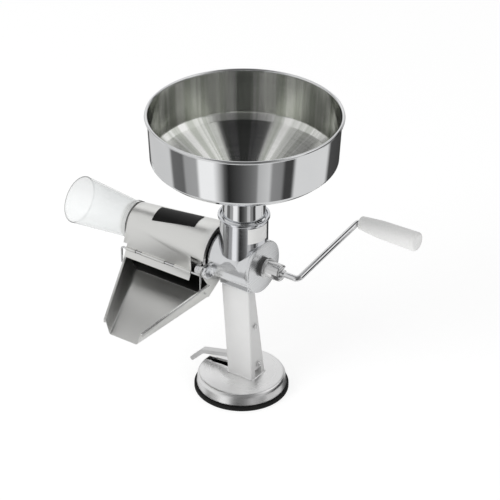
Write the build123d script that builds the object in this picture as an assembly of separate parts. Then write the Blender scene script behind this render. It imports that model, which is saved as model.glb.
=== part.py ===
"""Hand-cranked tomato strainer on a suction foot, modelled piece by piece in millimetres.

Frame: the origin is the centre of the suction foot on the table, +Z is up, +X points to the
crank, -X to the seed funnel and -Y to the chute at the front.
"""

import math
import os

from build123d import *

# ---------------------------------------------------------------- driving dimensions
# Clearances
RUN_FIT = 0.05  # radial, shaft in bush
PIN_FIT = 0.05  # radial, pins in their holes
LOOSE_FIT = 0.3  # radial, parts that are lifted off by hand
SCREW_FIT = 0.15  # radial, threaded fasteners
SEAT_GAP = 0.3  # between pieces that only lie near each other

SHEET = 1.0  # thickness of the steel sheet

# Body casting: a level tube along X with an upright neck
AXIS_Z = 200.0
TUBE_R = 33.0
TUBE_WALL = 4.0
TUBE_LEFT_X = -33.0
DISC_R = 36.0
DISC_BACK_X = 28.0
DISC_FACE_X = 34.2
END_WALL_T = 12.2
NECK_X = 2.0
NECK_WALL = 3.6
NECK_TOP_Z = 271.0
NECK_FLARE = 5.0  # how far the neck's root spreads
NECK_FLARE_H = 17.0
LIP_H = 4.0
LIP_OUT = 2.2
MOUTH_DEPTH = 5.0
MOUTH_WIDER = 2.8
LUG_R = 9.0
LUG_T = 6.0
STUD_Y = 38.0
STUD_DROP = 12.0  # below the tube's axis

# Hopper
SPOUT_R = 28.1
SPOUT_REACH = 28.0  # below the neck's mouth floor
SPOUT_RISE = 36.0  # from the mouth's floor to the cone's foot
SPOUT_BEAD_H = 4.0
CONE_RISE = 52.0  # from the cone's foot to the wall's foot
WALL_H = 60.8
WALL_BOTTOM_R = 121.1
WALL_TOP_R = 124.0
RIM_BEAD_R = 2.2
GROOVE_DROP = 7.0  # from the wall's foot to the start of the cone
CONE_TOP_R = 113.0
COLLAR_H = 8.0

# Pedestal
LEG_TOP_Z = 157.0
LEG_FOOT_Z = 22.0
LEG_TOP_LEFT_X, LEG_TOP_RIGHT_X, LEG_TOP_HALF_T = -28.9, 15.6, 7.3
LEG_FOOT_LEFT_X, LEG_FOOT_RIGHT_X, LEG_FOOT_HALF_T = -11.3, 27.9, 16.0
LEG_EDGE = 2.0
WEB_LEDGE = 1.3
WEB_FOOT_H = 10.0
WEB_TOP_HALF_T = 27.0
WEB_TOP_DROP = 17.0
CAP_R = 61.0
CAP_SIDE_IN = 1.4  # from the foot of the cap's side to its top
CAP_SHOULDER_IN = 2.3  # from the side's top to the shoulder
CAP_SIDE_TOP_Z = 19.0
CAP_SHOULDER_Z = 22.6
CAP_CROWN_R, CAP_CROWN_Z = 30.0, 25.5
CAP_WALL = 3.5
LEVER_SLOT_W = 9.0
LEVER_SLOT_OUT_X = -56.0
CAVITY_W = 12.0
CAVITY_TOP_Z = 84.0
TANG_LENGTH = 60.0
TANG_W, TANG_T = 20.0, 7.0
TANG_FIT = 0.1
SIDE_SCREW_Z = 102.0
SIDE_SCREW_R = 1.7
SIDE_HEAD_GAP, SIDE_HEAD_T = 0.8, 1.6
SCREW_SLOT_W = 1.0
CLAMP_W, CLAMP_H, CLAMP_DEPTH = 14.0, 10.5, 13.0
CLAMP_FLOOR_Z = 26.5
CLAMP_BOLT_Z = 44.0
CLAMP_BOLT_R = 2.5
CLAMP_HEAD_GAP, CLAMP_HEAD_T, CLAMP_HEAD_EDGE = 0.6, 3.0, 0.8
CLAMP_SLOT_W, CLAMP_SLOT_DEPTH = 1.2, 1.2
CLAMP_BOLT_END_X = 14.4

# Suction foot
CUP_R = 64.0
CUP_RIM_H = 6.0
CUP_DISH = 2.5
CUP_FLOOR_T = 3.0  # rubber below the stem's plate
CUP_HUB_R = 15.0
CUP_HUB_TOP_Z = 17.0
STEM_R = 4.0
STEM_TRAVEL = 4.0
STEM_PLATE_R, STEM_PLATE_T = 10.0, 2.0
STEM_PIN_Z = 44.0
STEM_PIN_R = 2.0
STEM_HEAD_DROP = 16.0  # from the pin down to the head's shoulder
STEM_HEAD_WALL = 1.5  # above the pin
PIVOT_X, PIVOT_Z, PIVOT_R = -8.0, 46.0, 3.0
LEVER_W = 9.0
LEVER_T = 6.0
LEVER_KNEE_X, LEVER_KNEE_Z = -62.0, 32.5
LEVER_TIP_X, LEVER_TIP_Z = -81.0, 13.0
LEVER_TIP_T = 4.8
LEVER_EDGE = 1.2
NOSE_X, NOSE_Z, NOSE_R = 0.6, 47.0, 8.4
NOSE_FORK = 4.6  # full width of the slot between the lever's cheeks
NOSE_SLOT_RISE = 6.2  # between the centres of the pin slot's ends
NOSE_SLOT_SHIFT = 1.2  # room for the pin's sideways path

# Screen
SCREEN_BIG_R, SCREEN_BIG_X = 30.0, -46.0
SCREEN_SMALL_R, SCREEN_SMALL_X = 23.0, -165.0
SCREEN_FIT = 0.05
COLLAR_R = 32.0
COLLAR_FLANGE_R = 35.0
COLLAR_FLANGE_T = 3.5
GASKET_T = 1.0
OUTLET_R = 24.0
OUTLET_WALL = 2.5
OUTLET_END_X = -184.0

# Studs and thumb nuts
STUD_R = 3.0
STUD_TIP_X = -45.0
NUT_R = 7.0
NUT_HEAD_T = 7.5
NUT_HUB_R = 5.6
NUT_HUB_T = 1.4
NUT_FLUTES = 18

# Chute
CHUTE_LEFT_X = -168.0
CHUTE_RIGHT_X = -33.0
CHUTE_WALL_H = 20.0
CHUTE_BEND_Y, CHUTE_BEND_Z = -30.0, 144.6
OUTLET_Y, OUTLET_Z = -134.0, 109.0
OUTLET_LEFT_X, OUTLET_RIGHT_X = -119.5, -74.5
CHUTE_LEFT_LEAN = 16.0  # of the tray's left wall at the bend
OUTLET_FLARE = 7.0
TROUGH_FLOOR = ((-4.7, 158.4), (18.0, 159.6), (42.0, 170.0), (50.0, 186.0))  # (y, z) outside
TROUGH_BACK_TOP_Z = 198.0
HEM_H, HEM_T = 5.0, 2.0
CRADLE_TOP_Z = 188.0
CRADLE_FRONT_Y = -28.0
CRADLE_FIT = 0.2

# Splash guard, hinge wire and plate
GUARD_LEFT_X, GUARD_LEFT_R = -170.0, 27.0
GUARD_RIGHT_X, GUARD_RIGHT_R = -35.2, 40.0
GUARD_BACK_ANGLE = 10.0
WIRE_Y, WIRE_Z, WIRE_R = -36.0, 177.5, 1.4
KNUCKLE_WALL = 1.0
KNUCKLE_GAP = 0.15
KNUCKLES = ((-164.0, -148.0), (-138.0, -100.0), (-84.0, -57.0))  # x from, to
STRIP_LEFT_X, STRIP_RIGHT_X = -164.0, -57.0
STRIP_FOOT_Y, STRIP_FOOT_Z = -41.0, 167.0
NOTCH_TOP_Z = 203.0
LEFT_NOTCH_H = 6.0  # above the wire
WIRE_LEFT_X, WIRE_RIGHT_X = -171.6, -42.0
WIRE_LEG_Z = 152.5
WIRE_RIGHT_FOOT_Z = 152.5
PLATE_LENGTH, PLATE_W, PLATE_T = 66.0, 27.0, 0.8
PLATE_CENTRE_X = -101.0
PLATE_TILT = 7.5  # degrees from the top of the guard towards the front
PLATE_TURN_DEG = 5.0  # its right end towards the back

# Seed funnel
FUNNEL_WALL = 1.8
FUNNEL_COLLAR_R, FUNNEL_COLLAR_W = 27.6, 6.0
FUNNEL_START_X = -172.0
FUNNEL_END_X = -271.0
FUNNEL_END_R = 33.6
FUNNEL_FIT = 0.2

# Drive
SHAFT_R = 8.0
SHAFT_LEFT_X = -30.0
SHAFT_SHOULDER_X = 36.5
SHAFT_TAIL_R = 5.0
SHAFT_TAIL_X = 48.0
BUSH_R = 12.0
BUSH_FLANGE_R = 13.0
BUSH_FLANGE_END_X = 38.6
SEAL_T = 2.5
WASHER_T = 1.5
AUGER_BACK_X, AUGER_FRONT_X = 7.0, -160.0
AUGER_CORE_BACK_R, AUGER_CORE_FRONT_R = 14.0, 9.0
AUGER_GAP = 1.6
FLIGHT_T = 3.6
FLIGHT_PITCH = 30.0
FLIGHT_PART_COUNT = 6
SPRING_WIRE_R = 0.9
SPRING_R = 10.6
SPRING_TURNS = 4
HUB_FLANGE_R, HUB_FLANGE_T = 14.0, 3.0
HUB_R = 11.5
HUB_END_X = 63.0
HUB_EDGE = 2.5
FORK_DEPTH = 10.0
FORK_W = 8.3
CROSS_PIN_R = 2.5
CROSS_PIN_X = 57.0
ARM_R = 4.0
ARM_ROOT_X = 50.0
ARM_BEND_X = 87.5
ARM_LEAN_X, ARM_REACH_Y, ARM_RISE_Z = 15.8, 120.0, 34.0
ARM_BEND_R = 6.0
SPINDLE_END_X = 182.0
GRIP_START_X, GRIP_END_X = 107.0, 189.0
GRIP_SMALL_R, GRIP_MIDDLE_R, GRIP_BIG_R = 9.0, 12.1, 13.0
GRIP_MIDDLE_PART = 0.37  # share of the grip's length where its taper changes
GRIP_FIT = 0.1
GRIP_MOUTH_R, GRIP_MOUTH_DEPTH = 6.4, 4.0  # room for the rod's bend
GRIP_POCKET_X, GRIP_POCKET_R = 178.0, 8.0
GRIP_WASHER_R, GRIP_WASHER_T = 7.0, 2.0
GRIP_CAP_L = 6.0
GRIP_EDGE = 2.0
GRIP_CAP_EDGE = 3.5
GRIP_PLUG_L = 4.0

# Neck label
LABEL_W_DEG, LABEL_T = 56.0, 0.3
LABEL_SHARE = 0.44  # its height's share of the plain neck between flare and lip
LABEL_ANGLE = -18.0  # degrees about the neck's axis from +X
LABEL_LIP_GAP = 3.0
LABEL_GLUE = 0.05

# ---------------------------------------------------------------- derived dimensions
TUBE_BORE_R = TUBE_R - TUBE_WALL
NECK_BORE_R = SPOUT_R + LOOSE_FIT
NECK_R = NECK_BORE_R + NECK_WALL
LIP_R = NECK_R + LIP_OUT
MOUTH_R = NECK_BORE_R + MOUTH_WIDER
MOUTH_FLOOR_Z = NECK_TOP_Z - MOUTH_DEPTH
LIP_BOTTOM_Z = NECK_TOP_Z - LIP_H
NECK_PLAIN_H = LIP_BOTTOM_Z - AXIS_Z - NECK_FLARE_H
LABEL_H = LABEL_SHARE * NECK_PLAIN_H
LABEL_BOTTOM_Z = LIP_BOTTOM_Z - LABEL_LIP_GAP - LABEL_H
SPOUT_BOTTOM_Z = MOUTH_FLOOR_Z - SPOUT_REACH
CONE_BOTTOM_Z = MOUTH_FLOOR_Z + SPOUT_RISE
WALL_BOTTOM_Z = CONE_BOTTOM_Z + CONE_RISE
RIM_Z = WALL_BOTTOM_Z + WALL_H
CAP_SIDE_TOP_R = CAP_R - CAP_SIDE_IN
CAP_SHOULDER_R = CAP_SIDE_TOP_R - CAP_SHOULDER_IN
STUD_Z = AXIS_Z - STUD_DROP
END_WALL_X = DISC_FACE_X - END_WALL_T
CHUTE_PLATE_X = TUBE_LEFT_X - SHEET
COLLAR_FACE_X = CHUTE_PLATE_X - GASKET_T
COLLAR_BACK_X = COLLAR_FACE_X - COLLAR_FLANGE_T
SEAL_X = END_WALL_X - SEAL_T
WASHER_X = SEAL_X - WASHER_T
HUB_X = BUSH_FLANGE_END_X + SEAT_GAP / 2
ARM_ANGLE = math.degrees(math.atan2(ARM_RISE_Z, ARM_REACH_Y))
SPINDLE_Y = ARM_REACH_Y
SPINDLE_Z = AXIS_Z + ARM_RISE_Z
LEG_HEIGHT = LEG_TOP_Z - LEG_FOOT_Z
TANG_X = (LEG_TOP_LEFT_X + LEG_TOP_RIGHT_X) / 2 + 3.0


# ---------------------------------------------------------------- helpers
def cylinder_between(radius, start, end):
    """A round bar from one point to another."""
    start, end = Vector(*start), Vector(*end)
    axis = end - start
    plane = Plane(origin=start, z_dir=axis)
    return extrude(plane * Circle(radius), axis.length)


def bar_x(radius, x_from, x_to, y=0.0, z=AXIS_Z):
    """A round bar along X."""
    low, high = min(x_from, x_to), max(x_from, x_to)
    return cylinder_between(radius, (low, y, z), (high, y, z))


def ring_x(outer, inner, x_from, x_to, y=0.0, z=AXIS_Z):
    """A ring or tube along X."""
    overrun = 1.0
    low, high = min(x_from, x_to), max(x_from, x_to)
    return bar_x(outer, low, high, y, z) - bar_x(inner, low - overrun, high + overrun, y, z)


def cone_x(radius_from, radius_to, x_from, x_to, y=0.0, z=AXIS_Z):
    """A solid cone along X; x_from is the lower X."""
    low = Plane(origin=(x_from, y, z), z_dir=(1, 0, 0))
    high = Plane(origin=(x_to, y, z), z_dir=(1, 0, 0))
    return loft([low * Circle(radius_from), high * Circle(radius_to)])


def box_between(low, high):
    """A box from its lowest to its highest corner."""
    size = [b - a for a, b in zip(low, high)]
    centre = [(a + b) / 2 for a, b in zip(low, high)]
    return Pos(*centre) * Box(*size)


def plate_yz(points, x_from, x_to):
    """A flat plate with the given (y, z) outline, from one X to a higher one."""
    outline = Polyline([(x_from, y, z) for y, z in points], close=True)
    return extrude(make_face(outline), x_to - x_from, dir=(1, 0, 0))


def plate_xz(points, y_from, y_to):
    """A flat plate with the given (x, z) outline, from one Y to a higher one."""
    outline = Polyline([(x, y_from, z) for x, z in points], close=True)
    return extrude(make_face(outline), y_to - y_from, dir=(0, 1, 0))


def turned(points, x=0.0):
    """A turned piece about a vertical axis, from its (radius, z) outline."""
    outline = Polyline([(r, 0, z) for r, z in points], close=True)
    return Pos(x, 0, 0) * revolve(make_face(outline), Axis.Z)


def rectangle_at(z, x_low, x_high, half_y):
    """A level rectangle face."""
    return Pos((x_low + x_high) / 2, 0, z) * Rectangle(x_high - x_low, 2 * half_y)


def share(low, high, part):
    """The value part of the way from low to high."""
    return low + (high - low) * part


def leg_left_x(z):
    """The leg's left face at height z."""
    return share(LEG_FOOT_LEFT_X, LEG_TOP_LEFT_X, (z - LEG_FOOT_Z) / LEG_HEIGHT)


def leg_right_x(z):
    """The leg's right face at height z."""
    return share(LEG_FOOT_RIGHT_X, LEG_TOP_RIGHT_X, (z - LEG_FOOT_Z) / LEG_HEIGHT)


def leg_half_t(z):
    """Half the leg's thickness at height z."""
    return share(LEG_FOOT_HALF_T, LEG_TOP_HALF_T, (z - LEG_FOOT_Z) / LEG_HEIGHT)


def screen_radius(x):
    """The screen's outer radius at x."""
    part = (x - SCREEN_SMALL_X) / (SCREEN_BIG_X - SCREEN_SMALL_X)
    return share(SCREEN_SMALL_R, SCREEN_BIG_R, min(part, 1.0))


def guard_radius(x):
    """The guard's outer radius at x."""
    part = (x - GUARD_LEFT_X) / (GUARD_RIGHT_X - GUARD_LEFT_X)
    return share(GUARD_LEFT_R, GUARD_RIGHT_R, part)


def stud_places():
    """The two stud axes as (name, y)."""
    return (("front", -STUD_Y), ("back", STUD_Y))


# ---------------------------------------------------------------- body and pedestal
def body_casting():
    """Tube, neck, end disc, stud lugs and the web with its tang, bored for all that fits in it."""
    tube = bar_x(TUBE_R, TUBE_LEFT_X, DISC_BACK_X)
    neck = Pos(NECK_X, 0, (AXIS_Z + NECK_TOP_Z) / 2) * Cylinder(NECK_R, NECK_TOP_Z - AXIS_Z)
    flare_top_z = AXIS_Z + NECK_FLARE_H
    flare = turned(
        [(0, AXIS_Z), (NECK_R + NECK_FLARE, AXIS_Z), (NECK_R, flare_top_z), (0, flare_top_z)], NECK_X
    )
    flare &= box_between((TUBE_LEFT_X, -TUBE_R, AXIS_Z), (DISC_BACK_X, TUBE_R, NECK_TOP_Z))
    lip = Pos(NECK_X, 0, NECK_TOP_Z - LIP_H / 2) * Cylinder(LIP_R, LIP_H)
    disc = bar_x(DISC_R, DISC_BACK_X, DISC_FACE_X)
    web_foot_z = LEG_TOP_Z + WEB_FOOT_H
    web_left = leg_left_x(LEG_TOP_Z) - WEB_LEDGE
    web_right = leg_right_x(LEG_TOP_Z) + WEB_LEDGE
    web_half = leg_half_t(LEG_TOP_Z) + WEB_LEDGE
    web_block = box_between((web_left, -web_half, LEG_TOP_Z), (web_right, web_half, web_foot_z))
    web_flare = loft(
        [
            rectangle_at(web_foot_z, web_left, web_right, web_half),
            rectangle_at(AXIS_Z - WEB_TOP_DROP, TUBE_LEFT_X, DISC_BACK_X, WEB_TOP_HALF_T),
        ],
        ruled=True,
    )
    tang = box_between(
        (TANG_X - TANG_W / 2, -TANG_T / 2, LEG_TOP_Z - TANG_LENGTH),
        (TANG_X + TANG_W / 2, TANG_T / 2, LEG_TOP_Z + 1),
    )
    solid = tube + neck + flare + lip + disc + web_block + web_flare + lug_bar(TUBE_LEFT_X, LUG_T)
    solid -= bar_x(TUBE_BORE_R, TUBE_LEFT_X - 1, END_WALL_X)
    solid -= bar_x(BUSH_R, END_WALL_X - 1, DISC_FACE_X + 1)
    bore_height = NECK_TOP_Z - AXIS_Z + 1
    solid -= Pos(NECK_X, 0, AXIS_Z + bore_height / 2) * Cylinder(NECK_BORE_R, bore_height)
    solid -= Pos(NECK_X, 0, NECK_TOP_Z) * Cylinder(MOUTH_R, 2 * MOUTH_DEPTH)
    for _, y in stud_places():
        solid -= bar_x(STUD_R, TUBE_LEFT_X - 1, TUBE_LEFT_X + LUG_T + 1, y, STUD_Z)
    solid += tang
    return solid - side_screw_hole()


def lug_bar(x_from, thickness):
    """A flat bar across the tube's axis that ends in the two round stud lugs."""
    x_to = x_from + thickness
    bar = box_between((x_from, -STUD_Y, STUD_Z - LUG_R), (x_to, STUD_Y, STUD_Z + LUG_R))
    for _, y in stud_places():
        bar += bar_x(LUG_R, x_from, x_to, y, STUD_Z)
    return bar


def side_screw_hole():
    """The small side screw's hole through the leg's cheek and into the tang."""
    reach_x = TANG_X + TANG_W / 4
    return bar_x(SIDE_SCREW_R + SCREW_FIT, reach_x, leg_right_x(SIDE_SCREW_Z) + 2, 0, SIDE_SCREW_Z)


def side_screw():
    """The small slotted screw that fixes the tang in the leg."""
    head_x = leg_right_x(SIDE_SCREW_Z) + SIDE_HEAD_GAP
    head_r = 2 * SIDE_SCREW_R
    shank = bar_x(SIDE_SCREW_R, TANG_X + TANG_W / 4 + SEAT_GAP, head_x, 0, SIDE_SCREW_Z)
    head = bar_x(head_r, head_x, head_x + SIDE_HEAD_T, 0, SIDE_SCREW_Z)
    slot = box_between(
        (head_x + SIDE_HEAD_T / 2, -SCREW_SLOT_W / 2, SIDE_SCREW_Z - 2 * head_r),
        (head_x + 2 * SIDE_HEAD_T, SCREW_SLOT_W / 2, SIDE_SCREW_Z + 2 * head_r),
    )
    return shank + head - slot


def clamp_bolt():
    """The slotted bolt over the clamp pocket."""
    head_x = leg_right_x(CLAMP_BOLT_Z) + CLAMP_HEAD_GAP
    head_r = 1.5 * CLAMP_BOLT_R
    shank = bar_x(CLAMP_BOLT_R, CLAMP_BOLT_END_X, head_x, 0, CLAMP_BOLT_Z)
    head_end_x = head_x + CLAMP_HEAD_T
    head = bar_x(head_r, head_x, head_end_x, 0, CLAMP_BOLT_Z)
    slot = box_between(
        (head_end_x - CLAMP_SLOT_DEPTH, -2 * head_r, CLAMP_BOLT_Z - CLAMP_SLOT_W / 2),
        (head_end_x + 1, 2 * head_r, CLAMP_BOLT_Z + CLAMP_SLOT_W / 2),
    )
    return shank + chamfer(head.faces().sort_by(Axis.X)[-1].edges(), CLAMP_HEAD_EDGE) - slot


def suction_cap():
    """The bell over the suction cup: outer outline less the same outline one wall inside."""
    outer = turned(
        [
            (0, CUP_RIM_H),
            (CAP_R, CUP_RIM_H),
            (CAP_SIDE_TOP_R, CAP_SIDE_TOP_Z),
            (share(CAP_SIDE_TOP_R, CAP_SHOULDER_R, 0.3), share(CAP_SIDE_TOP_Z, CAP_SHOULDER_Z, 0.7)),
            (CAP_SHOULDER_R, CAP_SHOULDER_Z),
            (CAP_CROWN_R, CAP_CROWN_Z),
            (0, CAP_CROWN_Z),
        ]
    )
    inner = turned(
        [
            (0, CUP_RIM_H - 1),
            (CAP_R - CAP_WALL, CUP_RIM_H - 1),
            (CAP_SHOULDER_R - CAP_WALL, CAP_SHOULDER_Z - CAP_WALL),
            (CAP_CROWN_R, CAP_CROWN_Z - CAP_WALL),
            (0, CAP_CROWN_Z - CAP_WALL),
        ]
    )
    return outer - inner


def pedestal():
    """Leg and suction cap as one casting, with the tang's socket and the lever's cavity."""
    foot_z = CAP_CROWN_Z - CAP_WALL / 2
    leg = loft(
        [
            rectangle_at(foot_z, leg_left_x(foot_z), leg_right_x(foot_z), leg_half_t(foot_z)),
            rectangle_at(LEG_TOP_Z, leg_left_x(LEG_TOP_Z), leg_right_x(LEG_TOP_Z), leg_half_t(LEG_TOP_Z)),
        ],
        ruled=True,
    )
    upright = [e for e in leg.edges() if e.bounding_box().size.Z > LEG_HEIGHT / 2]
    leg = fillet(upright, LEG_EDGE)
    solid = leg + suction_cap()
    solid -= box_between(
        (TANG_X - TANG_W / 2 - TANG_FIT, -TANG_T / 2 - TANG_FIT, LEG_TOP_Z - TANG_LENGTH - SEAT_GAP),
        (TANG_X + TANG_W / 2 + TANG_FIT, TANG_T / 2 + TANG_FIT, LEG_TOP_Z + 1),
    )
    nose_reach = NOSE_X + NOSE_R + 1.2
    solid -= box_between(
        (leg_left_x(CAVITY_TOP_Z) - 2, -CAVITY_W / 2, CAP_CROWN_Z - CAP_WALL - 2),
        (nose_reach, CAVITY_W / 2, CAVITY_TOP_Z - 8),
    )
    solid -= box_between(
        (LEVER_SLOT_OUT_X, -LEVER_SLOT_W / 2, CAP_CROWN_Z - CAP_WALL - 4),
        (0, LEVER_SLOT_W / 2, CAP_CROWN_Z + 1),
    )
    solid -= box_between(
        (leg_right_x(CLAMP_FLOOR_Z) - CLAMP_DEPTH, -CLAMP_W / 2, CLAMP_FLOOR_Z),
        (leg_right_x(CLAMP_FLOOR_Z) + 2, CLAMP_W / 2, CLAMP_FLOOR_Z + CLAMP_H),
    )
    solid -= side_screw_hole()
    bolt_hole_end = leg_right_x(CLAMP_BOLT_Z) + 2
    solid -= bar_x(CLAMP_BOLT_R + SCREW_FIT, CLAMP_BOLT_END_X - SEAT_GAP, bolt_hole_end, 0, CLAMP_BOLT_Z)
    back_y = leg_half_t(PIVOT_Z)
    solid -= cylinder_between(
        PIVOT_R + PIN_FIT, (PIVOT_X, -back_y + 3, PIVOT_Z), (PIVOT_X, back_y + 1, PIVOT_Z)
    )
    return solid


# ---------------------------------------------------------------- suction foot
def suction_cup():
    """Rubber disc with a dished underside and a hub whose chamber holds the stem's plate."""
    floor_z = CUP_DISH + CUP_FLOOR_T
    solid = turned(
        [
            (0, CUP_DISH),
            (CUP_R - 8.0, 0),
            (CUP_R - 1.0, 0),
            (CUP_R, 1.0),
            (CUP_R, CUP_RIM_H - 0.8),
            (CUP_R - 0.8, CUP_RIM_H),
            (CUP_HUB_R, CUP_RIM_H),
            (CUP_HUB_R, CUP_HUB_TOP_Z),
            (0, CUP_HUB_TOP_Z),
        ]
    )
    chamber_h = STEM_TRAVEL + STEM_PLATE_T + 2 * SEAT_GAP
    solid -= Pos(0, 0, floor_z + chamber_h / 2) * Cylinder(STEM_PLATE_R + SEAT_GAP, chamber_h)
    return solid - Pos(0, 0, CUP_HUB_TOP_Z) * Cylinder(STEM_R + SEAT_GAP, 2 * (CUP_HUB_TOP_Z - floor_z) - 1)


def suction_stem():
    """Plate, rod and a flat head that the cross pin goes through."""
    plate_z = CUP_DISH + CUP_FLOOR_T + SEAT_GAP + STEM_TRAVEL
    plate = Pos(0, 0, plate_z + STEM_PLATE_T / 2) * Cylinder(STEM_PLATE_R, STEM_PLATE_T)
    shoulder_z = STEM_PIN_Z - STEM_HEAD_DROP
    head_top_z = STEM_PIN_Z + STEM_PIN_R + STEM_HEAD_WALL
    rod_part = Pos(0, 0, (plate_z + shoulder_z) / 2) * Cylinder(STEM_R, shoulder_z - plate_z)
    half_t = NOSE_FORK / 2 - SEAT_GAP
    head = box_between((-STEM_R, -half_t, shoulder_z - 1), (STEM_R, half_t, head_top_z))
    pin_hole = cylinder_between(STEM_PIN_R + PIN_FIT, (0, -STEM_R, STEM_PIN_Z), (0, STEM_R, STEM_PIN_Z))
    return plate + rod_part + head - pin_hole


def stem_pin():
    """The cross pin that the lever's slots push up and down."""
    reach = LEVER_W / 2
    return cylinder_between(STEM_PIN_R, (0, -reach, STEM_PIN_Z), (0, reach, STEM_PIN_Z))


def lever_pivot_pin():
    """The pin that carries the lever in the leg's two cheeks."""
    back_y = leg_half_t(PIVOT_Z)
    start = (PIVOT_X, -back_y + 3 + SEAT_GAP, PIVOT_Z)
    return cylinder_between(PIVOT_R, start, (PIVOT_X, back_y - SEAT_GAP, PIVOT_Z))


def suction_lever():
    """Flat bar with a bent tip; its forked nose has a slot that follows the stem's pin."""
    direction = math.atan2(PIVOT_Z - LEVER_KNEE_Z, PIVOT_X - LEVER_KNEE_X)
    across = (-math.sin(direction) * LEVER_T / 2, math.cos(direction) * LEVER_T / 2)
    tip_direction = math.atan2(LEVER_KNEE_Z - LEVER_TIP_Z, LEVER_KNEE_X - LEVER_TIP_X)
    tip_across = (-math.sin(tip_direction) * LEVER_T / 2, math.cos(tip_direction) * LEVER_T / 2)
    mitre = 1 / (1 + math.cos(tip_direction - direction))
    knee = ((across[0] + tip_across[0]) * mitre, (across[1] + tip_across[1]) * mitre)
    tip_part = LEVER_TIP_T / LEVER_T
    half_w = LEVER_W / 2
    bar = plate_xz(
        [
            (PIVOT_X + across[0], PIVOT_Z + across[1]),
            (LEVER_KNEE_X + knee[0], LEVER_KNEE_Z + knee[1]),
            (LEVER_TIP_X + tip_across[0] * tip_part, LEVER_TIP_Z + tip_across[1] * tip_part),
            (LEVER_TIP_X - tip_across[0] * tip_part, LEVER_TIP_Z - tip_across[1] * tip_part),
            (LEVER_KNEE_X - knee[0], LEVER_KNEE_Z - knee[1]),
            (PIVOT_X - across[0], PIVOT_Z - across[1]),
        ],
        -half_w,
        half_w,
    )
    bar = fillet([e for e in bar.edges() if e.bounding_box().size.Y < 1], LEVER_EDGE)
    boss = cylinder_between(2 * PIVOT_R, (PIVOT_X, -half_w, PIVOT_Z), (PIVOT_X, half_w, PIVOT_Z))
    nose = cylinder_between(NOSE_R, (NOSE_X, -half_w, NOSE_Z), (NOSE_X, half_w, NOSE_Z))
    solid = bar + boss + nose
    fork_x = PIVOT_X + 2 * PIVOT_R - LEVER_T / 2
    solid -= box_between(
        (fork_x, -NOSE_FORK / 2, NOSE_Z - 2 * NOSE_R),
        (NOSE_X + 2 * NOSE_R, NOSE_FORK / 2, NOSE_Z + 2 * NOSE_R),
    )
    slot_half = STEM_PIN_R + SEAT_GAP
    slot_low, slot_high = STEM_PIN_Z, STEM_PIN_Z + NOSE_SLOT_RISE
    slot_end_x = slot_half + NOSE_SLOT_SHIFT
    slot = box_between((-slot_half, -half_w - 1, slot_low), (slot_end_x, half_w + 1, slot_high))
    for z in (slot_low, slot_high):
        slot += cylinder_between(slot_half, (0, -half_w - 1, z), (0, half_w + 1, z))
        far_x = NOSE_SLOT_SHIFT
        slot += cylinder_between(slot_half, (far_x, -half_w - 1, z), (far_x, half_w + 1, z))
    solid -= slot
    pin = cylinder_between(PIVOT_R + PIN_FIT, (PIVOT_X, -LEVER_W, PIVOT_Z), (PIVOT_X, LEVER_W, PIVOT_Z))
    return solid - pin


# ---------------------------------------------------------------- hopper
def hopper_bowl():
    """Spun bowl: straight wall, rounded groove, shallow cone, short collar and a curled rim."""
    groove_z = WALL_BOTTOM_Z - GROOVE_DROP
    hole_r = SPOUT_R + PIN_FIT
    outer = [
        (WALL_TOP_R, RIM_Z),
        (WALL_BOTTOM_R, WALL_BOTTOM_Z),
        (share(WALL_BOTTOM_R, CONE_TOP_R, 0.25), share(WALL_BOTTOM_Z, groove_z, 0.65)),
        (CONE_TOP_R, groove_z),
        (hole_r + SHEET, CONE_BOTTOM_Z),
        (hole_r + SHEET, CONE_BOTTOM_Z - COLLAR_H),
        (hole_r, CONE_BOTTOM_Z - COLLAR_H),
        (hole_r, CONE_BOTTOM_Z + SHEET),
        (CONE_TOP_R - SHEET / 2, groove_z + SHEET),
        (share(WALL_BOTTOM_R, CONE_TOP_R, 0.25) - SHEET, share(WALL_BOTTOM_Z, groove_z, 0.65) + SHEET),
        (WALL_BOTTOM_R - SHEET, WALL_BOTTOM_Z + SHEET / 2),
        (WALL_TOP_R - SHEET, RIM_Z),
    ]
    bowl = turned(outer, NECK_X)
    bead = Pos(NECK_X, 0, RIM_Z) * Torus(WALL_TOP_R + RIM_BEAD_R - SHEET, RIM_BEAD_R)
    return bowl + bead


def hopper_spout():
    """Steel tube with a bead that rests in the neck's mouth."""
    inner = SPOUT_R - SHEET
    bead_r = MOUTH_R - LOOSE_FIT
    top_z = CONE_BOTTOM_Z + SHEET
    return turned(
        [
            (inner, SPOUT_BOTTOM_Z),
            (SPOUT_R, SPOUT_BOTTOM_Z),
            (SPOUT_R, MOUTH_FLOOR_Z),
            (bead_r, MOUTH_FLOOR_Z),
            (bead_r, MOUTH_FLOOR_Z + 0.6 * SPOUT_BEAD_H),
            (SPOUT_R, MOUTH_FLOOR_Z + SPOUT_BEAD_H),
            (SPOUT_R, top_z),
            (inner, top_z),
        ],
        NECK_X,
    )


def neck_label():
    """A thin blank label on the neck."""
    ring = Pos(NECK_X, 0, LABEL_BOTTOM_Z + LABEL_H / 2) * (
        Cylinder(NECK_R + LABEL_GLUE + LABEL_T, LABEL_H) - Cylinder(NECK_R + LABEL_GLUE, LABEL_H + 2)
    )
    reach = 3 * NECK_R
    edges = [math.radians(LABEL_ANGLE + side * LABEL_W_DEG / 2) for side in (-1, 1)]
    corners = [(NECK_X, 0)] + [
        (NECK_X + reach * math.cos(a), reach * math.sin(a)) for a in edges
    ]
    outline = Polyline([(x, y, LABEL_BOTTOM_Z - 1) for x, y in corners], close=True)
    wedge = extrude(make_face(outline), LABEL_H + 2, dir=(0, 0, 1))
    return ring & wedge


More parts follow.
